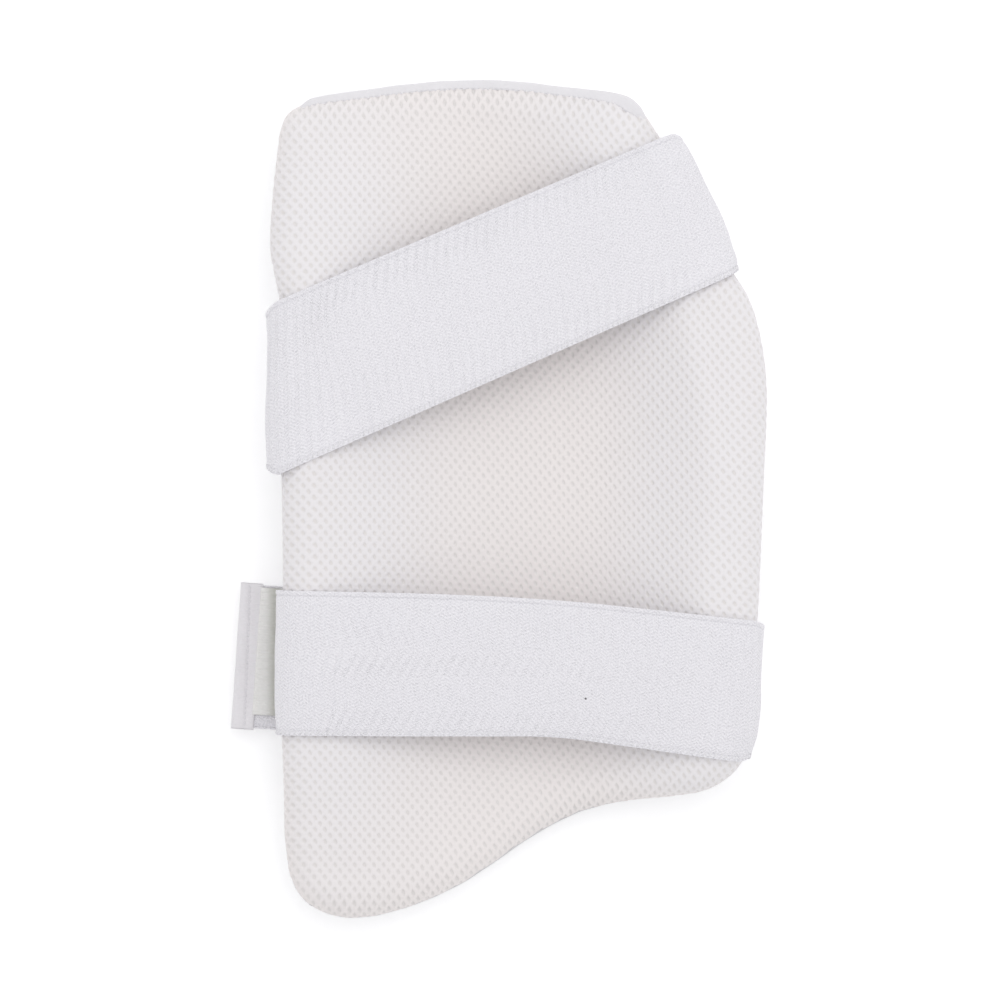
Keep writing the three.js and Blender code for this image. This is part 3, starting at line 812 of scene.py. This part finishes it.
def ribbon_lines(node, face_up=False):
    """Lines along the outer face of a ribbon, each from its first end to its tail."""
    made = merged_copy(node)
    firm = {e for e in made.edges if e.calc_face_angle(0) > math.radians(50)}
    corners = [v for v in made.verts if sum(e in firm for e in v.link_edges) == 3]
    first_end = sorted(corners, key=lambda v: v.co.x)[4:]
    outer = sorted(first_end, key=lambda v: -v.co.z if face_up else v.co.z)[:2]
    top, bottom = sorted(outer, key=lambda v: -v.co.y)
    longest = [
        max((firm_line(v, e, firm) for e in v.link_edges if e in firm), key=len)
        for v in (top, bottom)
    ]
    rows = [straight_across(a, b) for a, b in zip(*longest)]
    points = np.array([[v.co.to_tuple() for v in row] for row in rows])
    made.free()
    return points.transpose(1, 0, 2)


strap_routes = {node: ribbon_lines(node) for node in ("upper_strap", "lower_strap")}
for node, lines in strap_routes.items():
    print(node, lines.shape, lines.min((0, 1)) / MM, lines.max((0, 1)) / MM)

# %% Lay a fine grid along the route
def travelled(points):
    """Distance gone at each point of a line."""
    steps = np.linalg.norm(np.diff(points, axis=0), axis=1)
    return np.concatenate([[0.0], np.cumsum(steps)])


def smooth_reading(points, distances, wanted):
    """A smooth line through points, read at the wanted distances."""
    slopes = np.gradient(points, distances, axis=0)
    i = np.clip(np.searchsorted(distances, wanted) - 1, 0, len(distances) - 2)
    span = (distances[i + 1] - distances[i])[:, None]
    t = ((wanted - distances[i]) / span[:, 0])[:, None]
    start, end = points[i], points[i + 1]
    return ((2 * t ** 3 - 3 * t ** 2 + 1) * start + (t ** 3 - 2 * t ** 2 + t) * span * slopes[i]
            + (3 * t ** 2 - 2 * t ** 3) * end + (t ** 3 - t ** 2) * span * slopes[i + 1])


def ribbon_surface(lines, spacing, seats):
    """Points on a grid: seats across the ribbon, and stations along it."""
    middle = lines.mean(0)
    distances = travelled(middle)
    wanted = np.linspace(0, distances[-1], round(distances[-1] / spacing) + 1)
    fine = np.array([smooth_reading(line, distances, wanted) for line in lines])
    shares = np.linspace(0, 1, len(lines))
    grid = np.empty((len(seats), len(wanted), 3))
    for row, seat in enumerate(seats):
        k = min(int(seat * (len(lines) - 1)), len(lines) - 2)
        t = (seat - shares[k]) * (len(lines) - 1)
        grid[row] = (1 - t) * fine[k] + t * fine[k + 1]
    return grid, wanted


def grid_normals(grid):
    """Directions out of a grid of points, upwards over the hollow."""
    normals = np.cross(np.gradient(grid, axis=1), np.gradient(grid, axis=0))
    normals /= np.linalg.norm(normals, axis=2)[:, :, None]
    top = grid[:, :, 2] > grid[:, :, 2].max() - 3 * MM
    return normals if normals[top][:, 2].sum() > 0 else -normals


def ribbon_piece(name, grid, wanted):
    """A sheet with the shape of a grid, with a UV map in metres and its distance from the edge."""
    rows, stations = grid.shape[:2]
    made = bmesh.new()
    sheet_uv = made.loops.layers.uv.new("UVMap")
    from_edge = made.verts.layers.float.new("from_edge")
    bmesh.ops.create_grid(made, x_segments=stations - 1, y_segments=rows - 1, size=0.5)
    across = np.concatenate([np.zeros((1, stations)), np.cumsum(
        np.linalg.norm(np.diff(grid, axis=0), axis=2), axis=0)])
    seat = {}
    for vertex in made.verts:
        i = round((vertex.co.x + 0.5) * (stations - 1))
        j = round((vertex.co.y + 0.5) * (rows - 1))
        seat[vertex] = (wanted[i], across[j, i])
        vertex[from_edge] = min(across[j, i], across[-1, i] - across[j, i])
        vertex.co = grid[j, i]
    for face in made.faces:
        for loop in face.loops:
            loop[sheet_uv].uv = seat[loop.vert]
    made.normal_update()
    highest = max(made.faces, key=lambda f: f.calc_center_median().z)
    if highest.normal.z < 0:
        bmesh.ops.reverse_faces(made, faces=made.faces)
    return finished_piece(name, made)


# %% Make the straps
strap_spacing = 2 * MM
rib_height, rib_place, rib_width = 0.18 * MM, 1.2 * MM, 0.8 * MM
groove_depth, groove_place, groove_width = 0.30 * MM, 2.4 * MM, 0.45 * MM
turn_run, bow_run = 6 * MM, 12 * MM
turn_drop, turn_height = 1.6 * MM, 20 * MM
hollow_level, hollow_fade = 40 * MM, 8 * MM
dent_reach, dent_depth = 8 * MM, 0.9 * MM

# Distances from a strap's edge in mm that have a line of corners.
edge_seats = [0, 0.5, 1.1, 1.8, 2.3, 2.8, 3.6, 5.2]


def strap_seats(width):
    """Shares of the width: close together at both edges, wide apart between them."""
    edge = [distance * MM / width for distance in edge_seats]
    between = np.linspace(edge[-1], 1 - edge[-1], 18)[1:-1]
    return np.array(edge + list(between) + [1 - e for e in reversed(edge)])


def edge_relief(distance):
    """Height of the firm selvedge: a rib along the edge and a groove inside it."""
    rib = rib_height * np.exp(-((distance - rib_place) / rib_width) ** 2)
    groove = -groove_depth * np.exp(-((distance - groove_place) / groove_width) ** 2)
    return rib + groove


def turned_edges(grid, cuts, bows):
    """Narrows a strap where it turns over the pad, as cloth does, and bows the turned edge."""
    share = np.cumsum(np.linalg.norm(np.diff(grid, axis=0, prepend=grid[:1]), axis=2), axis=0)
    share = share / share[-1]
    for end in ("left", "right"):
        x = grid[:, :, 0]
        turn = x.min(1) if end == "left" else x.max(1)
        from_turn = np.abs(x - turn[:, None])
        near = np.clip(1 - from_turn / turn_run, 0, 1)
        at_top, at_bottom = cuts[end]
        shift = at_bottom * MM * share ** 8 - at_top * MM * (1 - share) ** 8
        grid[:, :, 1] += near * near * shift
        wide = np.clip(1 - from_turn / bow_run, 0, 1)
        seats, amounts = bows[end]
        grid[:, :, 0] += wide * np.interp(share, seats, amounts) * MM
        raised_part = np.clip(grid[:, :, 2] / turn_height - 1, 0, 1)
        grid[:, :, 2] -= turn_drop * near * near * raised_part
    return grid


def strap_piece(name, node, ripple, cuts, bows, dents):
    """A strap on its CAD route, with selvedges and slight waves in the cloth."""
    lines = strap_routes[node]
    width = np.linalg.norm(lines[0] - lines[-1], axis=1).mean()
    grid, wanted = ribbon_surface(lines, strap_spacing, strap_seats(width))
    grid = turned_edges(grid, cuts, bows)
    normals = grid_normals(grid)
    across = np.concatenate([np.zeros((1, grid.shape[1])), np.cumsum(
        np.linalg.norm(np.diff(grid, axis=0), axis=2), axis=0)])
    from_edge = np.minimum(across, across[-1] - across)
    lift = edge_relief(from_edge)
    for j in range(grid.shape[0]):
        for i in range(grid.shape[1]):
            x, y, z = grid[j, i]
            over = min(1.0, max(0.0, (z - hollow_level) / hollow_fade))
            wave = noise.noise(Vector((x * 18, y * 40, 3.7)))
            fine = noise.noise(Vector((x * 60, y * 90, 8.1)))
            lift[j, i] += over * ripple * (wave + 0.35 * fine)
            for dent in dents:
                away = math.dist((x, y), from_photo(*dent)) / dent_reach
                lift[j, i] -= over * dent_depth * math.exp(-away * away)
    grid = grid + normals * lift[:, :, None]
    grid[:, :, 2] = np.maximum(grid[:, :, 2], 0.05 * MM)
    piece = ribbon_piece(name, grid, wanted)
    add_wall(piece, 1.7 * MM)
    rounding = add_rounding(piece, 0.5 * MM)
    rounding.limit_method = "ANGLE"
    rounding.angle_limit = math.radians(50)
    print(name, f"{width / MM:.1f} mm wide, {wanted[-1] / MM:.0f} mm long")
    return piece, grid


# Cuts are how much a turned end narrows at its upper and at its lower edge, in mm. Bows are
# shares of the width, and how far the turn stands to the right there, in mm. Dents are pixels.
upper_cuts = {"left": (3.0, 5.0), "right": (2.5, 1.0)}
upper_bows = {
    "left": ((0, 0.3, 0.7, 1), (0, -1.0, -1.0, 0)),
    "right": ((0, 0.2, 0.4, 0.6, 0.75, 0.9, 1), (0, 0, -0.9, 1.0, 2.4, 1.8, -0.6)),
}
lower_cuts = {"left": (1.5, 1.5), "right": (1.5, 2.5)}
lower_bows = {"left": ((0, 1), (0, 0)), "right": ((0, 1), (0, 0))}
upper_dents = ((470, 240), (420, 280))
upper_band, upper_grid = strap_piece(
    "upper_elastic", "upper_strap", 0.5 * MM, upper_cuts, upper_bows, upper_dents)
lower_band, lower_grid = strap_piece(
    "lower_elastic", "lower_strap", 0.35 * MM, lower_cuts, lower_bows, dents=())

# %% [markdown]
# ## Brushed elastic
#
# The elastic is a warp knit with a faint herringbone, and its face is brushed until it is fuzzy.
# Both are far finer than a face of the mesh, so they are bump and tint on the strap's own UV map,
# which runs with the cloth round every fold. The furrow inside each selvedge follows the distance
# from the edge, which the strap carries as an attribute: it stays parallel to the edge even where
# the strap narrows.

# %% Finish the elastic
elastic, graph, shader = cloth_material("brushed_elastic", 0.85, 0.2)
sheet_uv = along_cloth(graph)
parts = add(graph, "SeparateXYZ", Vector=sheet_uv)
lengthwise = calculate(graph, "MULTIPLY", parts.outputs["X"], 1 / (5.0 * MM))
zigzag = calculate(graph, "PINGPONG", lengthwise, 0.5)
crosswise = calculate(graph, "MULTIPLY", parts.outputs["Y"], 1 / (1.55 * MM))
lean = calculate(graph, "ADD", crosswise, calculate(graph, "MULTIPLY", zigzag, 2.2))
rows_of_knit = calculate(graph, "SINE", calculate(graph, "MULTIPLY", lean, math.tau))
columns_of_knit = calculate(graph, "SINE", calculate(graph, "MULTIPLY", lengthwise, 3 * math.tau))
knit_relief = calculate(graph, "ADD", rows_of_knit, calculate(
    graph, "MULTIPLY", columns_of_knit, 0.5))
fuzz = add(graph, "TexNoise", Vector=sheet_uv, Scale=1300.0, Detail=3.0).outputs["Fac"]
drift = add(graph, "TexNoise", Vector=sheet_uv, Scale=25.0, Detail=2.0).outputs["Fac"]
edge_distance = add(graph, "Attribute", {"attribute_name": "from_edge"}).outputs["Fac"]
# The groove inside each selvedge is tinted grey. This is painted shade in the groove.
into_groove = fade(graph, edge_distance, 1.7 * MM, 2.2 * MM, 0.0, 0.16)
out_of_groove = fade(graph, edge_distance, 2.4 * MM, 2.9 * MM, 1.0, 0.0)
groove = calculate(graph, "MULTIPLY", into_groove, out_of_groove)
white = blend_colours(graph, drift, (0.90, 0.885, 0.915, 1), (0.94, 0.925, 0.955, 1))
furrow = fade(graph, rows_of_knit, -1.0, 0.4, 0.2, 0.0)
shade = blend_colours(graph, furrow, white, (0.62, 0.61, 0.65, 1))
brushed = fade(graph, fuzz, 0.36, 0.60, 0.36, 0.0)
shade = blend_colours(graph, brushed, shade, (0.62, 0.61, 0.65, 1))
shade = blend_colours(graph, groove, shade, (0.52, 0.51, 0.56, 1))
speck = add(graph, "VectorMath", {"operation": "DISTANCE"}).outputs["Value"]
speck_spot = speck.node.inputs[1]
graph.links.new(in_space(graph), speck.node.inputs[0])
speck_share = fade(graph, speck, 0.3 * MM, 0.75 * MM, 0.9, 0.0)
shade = blend_colours(graph, speck_share, shade, (0.08, 0.07, 0.07, 1))
graph.links.new(shade, shader.inputs["Base Color"])
relief = raised(graph, fuzz, 0.3 * MM)
relief = raised(graph, knit_relief, 0.09 * MM, relief)
graph.links.new(relief, shader.inputs["Normal"])
speck_place = from_photo(586, 697)
upper_face = lower_grid[lower_grid[:, :, 2] > hollow_level]
under_speck = np.argmin(np.linalg.norm(upper_face[:, :2] - speck_place, axis=1))
speck_spot.default_value = (*speck_place, upper_face[under_speck, 2])
print("elastic:", len(graph.nodes), "nodes")
for band, node in ((upper_band, "upper_strap"), (lower_band, "lower_strap")):
    band.data.materials.append(elastic)
    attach(band, "root")
    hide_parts(node)

# %% [markdown]
# ## Top hem
#
# Along the top edge the mesh is turned over the edge and stitched down, so a smooth band shows
# outside a row of needle holes. The band is a strip whose rows follow the edge. Its first row
# lies in the stitching, and each needle hole pulls it in. The strip is cut from the same walks as
# the lining, so it hugs the edge. A swept tube would stand off it at the corner.

# %% Fold the top hem
needle_pitch = 2.6 * MM
needle_pull = 0.45 * MM
end_drop, end_run = 1.1 * MM, 3 * MM
pucker, pucker_run = 0.12 * MM, 3.1 * MM

# The share of the band's width and how much of its full height it has there.
hem_profile = (
    (0, -0.5), (0.03, -0.1), (0.07, 0.45), (0.12, 0.85), (0.18, 1.0), (0.26, 1.0), (0.36, 1.0),
    (0.48, 1.0), (0.6, 1.0), (0.72, 1.0), (0.84, 0.9), (0.93, 0.5), (1.0, -0.4),
)
hem_widths = [width * MM for _, _, width in hem_width_table]
ring_gap = np.linalg.norm(contour[1] - contour[0])
hem_columns = np.arange(hem_places[0], hem_places[-1], 0.6 * MM / ring_gap)
hem_width = np.interp(hem_columns, hem_places, hem_widths)
walk_distances = np.arange(walk_steps - 1) * stride


def stitch_distance(column, width):
    """How far from the contour the skin is still this far inside its own outline."""
    place = np.full(len(walk_distances), column)
    skin = read_walk(walk_spots, place, walk_distances) + (
        lining_lift + fullness(place, walk_distances))[:, None] * read_walk(
        walk_normals, place, walk_distances)
    index = int(column) % outline_points
    reached = (skin[:, :2] - contour[index]) @ outward[index]
    return np.interp(reached.max() - width, reached[:reached.argmax()],
                     walk_distances[:reached.argmax()])


hem_first = np.array([stitch_distance(c, w) for c, w in zip(hem_columns, hem_width)])
hem_last = np.interp(hem_columns, np.arange(outline_points), seam_step) * stride + 5 * MM
hem_along = hem_columns * ring_gap
hem_along -= hem_along[0]
pulled = 0.5 + 0.5 * np.cos(math.tau * hem_along / needle_pitch)
from_ends = np.minimum(hem_along, hem_along[-1] - hem_along)
dying = end_drop * np.exp(-(from_ends / end_run) ** 2)
hem_grid = []
for share, rise in hem_profile:
    distance = hem_first + share * (hem_last - hem_first)
    fade_in = math.exp(-share / 0.06)
    lift = lining_lift + fullness(hem_columns, distance) + hem_lift * rise - dying
    lift -= needle_pull * pulled ** 3 * fade_in
    lift += pucker * np.sin(hem_along / pucker_run + 9 * share) * (1 - share)
    hem_grid.append(read_walk(walk_spots, hem_columns, distance)
                    + read_walk(walk_normals, hem_columns, distance) * lift[:, None])
hem_grid = np.array(hem_grid)
hem = ribbon_piece("top_hem_band", hem_grid, hem_along)
add_wall(hem, 0.8 * MM)
print(f"hem: {hem_along[-1] / MM:.0f} mm long")

pressed_mesh, graph, shader = cloth_material("pressed_mesh", 0.75, 0.15)
sheet_uv = along_cloth(graph)
dots = add(graph, "TexVoronoi", Vector=sheet_uv, Scale=800.0).outputs["Distance"]
drift = add(graph, "TexNoise", Vector=sheet_uv, Scale=90.0, Detail=3.0).outputs["Fac"]
shade = blend_colours(graph, drift, (0.75, 0.735, 0.755, 1), (0.83, 0.815, 0.835, 1))
graph.links.new(shade, shader.inputs["Base Color"])
relief = raised(graph, dots, 0.12 * MM)
graph.links.new(raised(graph, drift, 0.5 * MM, relief), shader.inputs["Normal"])
hem.data.materials.append(pressed_mesh)
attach(hem, "root")
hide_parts("top_hem")

# %% [markdown]
# ## Stitches
#
# A row of stitches is a row of small beads of thread, each pulled into the cloth at both ends.
# One low sphere, stretched along the row and repeated, gives each of them a real highlight. A
# dashed bump would be quicker, but it vanishes at the edge of the pad, where most seams are.

# %% Sew rows of stitches
def stitch_row(made, points, normals, pitch, length, radius, lean=0.0):
    """Adds beads of thread along a line on the cloth, each turned by lean degrees."""
    distances = travelled(points)
    for middle in np.arange(pitch / 2, distances[-1], pitch):
        spot = [np.interp(middle, distances, points[:, k]) for k in range(3)]
        ahead = Vector([np.interp(middle + 0.1 * pitch, distances, points[:, k])
                        for k in range(3)]) - Vector(spot)
        out = Vector([np.interp(middle, distances, normals[:, k]) for k in range(3)]).normalized()
        ahead = (ahead - out * ahead.dot(out)).normalized()
        turned = Matrix.Rotation(math.radians(lean), 3, out) @ ahead
        axes = Matrix((turned, out.cross(turned), out)).transposed().to_4x4()
        size = Matrix.Diagonal((length / (2 * radius), 1, 0.7, 1))
        bmesh.ops.create_uvsphere(made, u_segments=6, v_segments=5, radius=radius,
                                  matrix=Matrix.Translation(spot) @ axes @ size)


thread_white, graph, shader = cloth_material("sewing_thread", 0.6, 0.1)
grain = in_space(graph)
twist = add(graph, "TexWave", {"bands_direction": "DIAGONAL"}, Vector=grain, Scale=900.0)
shade = blend_colours(graph, twist.outputs["Fac"], (0.72, 0.71, 0.73, 1), (0.86, 0.85, 0.87, 1))
graph.links.new(shade, shader.inputs["Base Color"])
graph.links.new(raised(graph, twist.outputs["Fac"], 0.05 * MM), shader.inputs["Normal"])


def stitched_piece(name, made):
    """Finishes rows of stitches as one piece of sewing thread."""
    made.normal_update()
    piece = finished_piece(name, made)
    piece.data.materials.append(thread_white)
    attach(piece, "root")
    print(name, "holds", len(piece.data.polygons), "faces")


hem_rows_made = bmesh.new()
seam_line = read_walk(walk_spots, hem_columns, hem_first + 0.2 * MM)
seam_out = read_walk(walk_normals, hem_columns, hem_first + 0.2 * MM)
hem_thread_lift = lining_lift + fullness(hem_columns, hem_first) + 0.1 * MM
seam_line = seam_line + seam_out * hem_thread_lift[:, None]
stitch_row(hem_rows_made, seam_line, seam_out,
           pitch=needle_pitch, length=1.7 * MM, radius=0.24 * MM)
stitched_piece("hem_stitches", hem_rows_made)

cover_stitches = bmesh.new()
stitch_inset = 3 * MM
around = np.append(np.arange(0, outline_points, 0.5), 0.0)
below_edge = np.interp(around, np.arange(outline_points), seam_step) * stride - lap + stitch_inset
seam_line = read_walk(walk_spots, around, below_edge)
seam_out = read_walk(walk_normals, around, below_edge)
seam_line = seam_line + seam_out * (3.05 * MM + fullness(around, below_edge))[:, None]
stitch_row(cover_stitches, seam_line, seam_out,
           pitch=3.4 * MM, length=2.3 * MM, radius=0.28 * MM)
stitched_piece("side_seam_stitches", cover_stitches)

# %% [markdown]
# ## Selvedges
#
# The lower edge of each elastic is finished with slanting loops of thread, and the upper edge
# with a flat double line. The loops stand proud of the edge and catch the light, so they are
# beads as well.

# %% Loop the lower selvedges
for name, grid in (("upper_selvedge", upper_grid), ("lower_selvedge", lower_grid)):
    out = grid_normals(grid)
    selvedge_rows = bmesh.new()
    last_row = grid.shape[0] - 1
    bottom = 0 if grid[0, :, 1].mean() < grid[last_row, :, 1].mean() else last_row
    inward_row = bottom + (3 if bottom == 0 else -3)
    line = grid[inward_row] - out[inward_row] * 0.1 * MM
    line[:, 2] = np.maximum(line[:, 2], 0.6 * MM)
    stitch_row(selvedge_rows, line, out[inward_row],
               pitch=2.5 * MM, length=3.6 * MM, radius=0.5 * MM, lean=50)
    stitched_piece(name, selvedge_rows)

# %% [markdown]
# ## Hook tape and binding
#
# The free end of the lower strap carries a strip of hook tape, and its cut end is bound with a
# folded tape. The hook tape is read from its solid as the straps are. The binding is a strip
# bent round the end: its rows go in over the top, round the fold and back underneath.

# %% Lay the hook tapes
hook_cloth, graph, shader = cloth_material("hook_tape", 0.45, 0.0)
sheet_uv = along_cloth(graph)
hooks = add(graph, "TexVoronoi", Vector=sheet_uv, Scale=720.0).outputs["Distance"]
ribs = add(graph, "TexWave", {"bands_direction": "Y"}, Vector=sheet_uv, Scale=260.0)
shade = blend_colours(graph, hooks, (0.87, 0.86, 0.84, 1), (0.81, 0.805, 0.78, 1))
beside_fold = add(graph, "SeparateXYZ", Vector=in_space(graph))
across_tape = beside_fold.outputs["X"]

# Pixels across between which the painted shade beside the strap's fold comes and goes.
shade_comes, shade_goes = (264, 276), (279, 290)
comes = [from_photo(px, 0)[0] for px in shade_comes]
goes = [from_photo(px, 0)[0] for px in shade_goes]
# The tape turns dark olive beside the strap's fold. This is painted shade of the deep gap under the
# fold.
painted_fold_shade = calculate(
    graph, "MULTIPLY",
    fade(graph, across_tape, *comes, 0.0, 0.55),
    fade(graph, across_tape, *goes, 1.0, 0.0))
shade = blend_colours(graph, painted_fold_shade, shade, (0.34, 0.35, 0.28, 1))
graph.links.new(shade, shader.inputs["Base Color"])
relief = raised(graph, hooks, 0.2 * MM)
graph.links.new(raised(graph, ribs.outputs["Fac"], 0.1 * MM, relief), shader.inputs["Normal"])
drawn_run = 10 * MM


def hook_piece(name, node, under_binding=0.0):
    """A strip of hook tape on its CAD route, its left end drawn out under the binding."""
    lines = ribbon_lines(node, face_up=True)
    grid, wanted = ribbon_surface(lines, 1 * MM, np.linspace(0, 1, 24))
    from_left = grid[:, :, 0] - grid[:, :, 0].min(1)[:, None]
    grid[:, :, 0] -= under_binding * np.clip(1 - from_left / drawn_run, 0, 1)
    piece = ribbon_piece(name, grid, wanted)
    add_wall(piece, 1.2 * MM)
    add_rounding(piece, 0.3 * MM)
    piece.data.materials.append(hook_cloth)
    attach(piece, "root")
    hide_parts(node)
    print(name, f"{wanted[-1] / MM:.0f} mm long")


hook_piece("lower_hooks", "lower_hook_tape", under_binding=2.2 * MM)
hook_piece("upper_hooks", "upper_hook_tape")

# %% Bind the free end
binding_leg = 8.4 * MM
binding_overhang = 0.6 * MM
binding_half = 1.8 * MM
seam_near_top, seam_near_bottom = 2.3 * MM, 4.3 * MM
seam_depth, seam_width = 0.35 * MM, 0.7 * MM
puff_height = 0.18 * MM
cut_edge_drop = 0.5 * MM
tail_end = strap_routes["lower_strap"][:, -1]
tail_before = strap_routes["lower_strap"][:, -2]
inward = Vector((tail_before - tail_end).mean(0)).normalized()
side = Vector(tail_end[-1] - tail_end[0]).normalized()
out_up = side.cross(inward).normalized()
if out_up.z < 0:
    out_up = -out_up
tail_width = np.linalg.norm(tail_end[-1] - tail_end[0])
fold_turns = [math.radians(a) for a in range(90, -91, -20)]
leg = [binding_leg * s for s in (1.0, 0.96, 0.85, 0.7, 0.6, *np.linspace(0.54, 0.06, 13))]

# A row of the binding is its distance from the fold and its side, or None and its turn there.
profile = [(s, 1.0) for s in leg] + [(None, a) for a in fold_turns] + [(s, -1.0) for s in leg[::-1]]
stations = np.linspace(-binding_overhang, tail_width + binding_overhang, 60)
middle_line = [Vector(tail_end[0]) + side * s + out_up * (1 * MM) for s in stations]


def seam_from_fold(station):
    """How far the binding's slightly slanting seam is from the end of the strap."""
    return float(np.interp(station, (0, tail_width), (seam_near_top, seam_near_bottom)))


binding_grid = []
for s, turn in profile:
    row = []
    for spot, station in zip(middle_line, stations):
        puff = puff_height * noise.noise(Vector((station * 70, 2.0, 0.0)))
        if s is None:
            reach_out = (binding_half + puff) * math.cos(turn)
            row.append(spot - inward * reach_out + out_up * (binding_half + puff) * math.sin(turn))
        else:
            groove = seam_depth * math.exp(-((s - seam_from_fold(station)) / seam_width) ** 2)
            slim = binding_half + puff - groove - cut_edge_drop * (s > 0.98 * binding_leg)
            row.append(spot + inward * s + out_up * turn * slim)
    binding_grid.append(row)
binding = ribbon_piece("tail_fold_binding", np.array(binding_grid, float), stations - stations[0])
add_wall(binding, 0.7 * MM).use_even_offset = False
woven_tape, graph, shader = cloth_material("binding_tape", 0.6, 0.1)
sheet_uv = along_cloth(graph)
ribs = add(graph, "TexWave", {"bands_direction": "X"}, Vector=sheet_uv, Scale=420.0)
drift = add(graph, "TexNoise", Vector=sheet_uv, Scale=60.0, Detail=2.0).outputs["Fac"]
shade = blend_colours(graph, drift, (0.76, 0.74, 0.76, 1), (0.86, 0.84, 0.86, 1))
graph.links.new(shade, shader.inputs["Base Color"])
graph.links.new(raised(graph, ribs.outputs["Fac"], 0.1 * MM), shader.inputs["Normal"])
binding.data.materials.append(woven_tape)
print("binding:", len(binding.data.polygons), "faces")
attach(binding, "root")
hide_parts("tail_binding")

binding_rows = bmesh.new()
for turn in (1.0, -1.0):
    line = np.array([
        spot + inward * seam_from_fold(station) + out_up * turn * (binding_half - 0.1 * MM)
        for spot, station in zip(middle_line, stations)
    ], float)
    out = np.repeat(np.array([out_up * turn], float), len(line), axis=0)
    stitch_row(binding_rows, line, out, pitch=2.5 * MM, length=1.8 * MM, radius=0.36 * MM)
stitched_piece("binding_stitches", binding_rows)
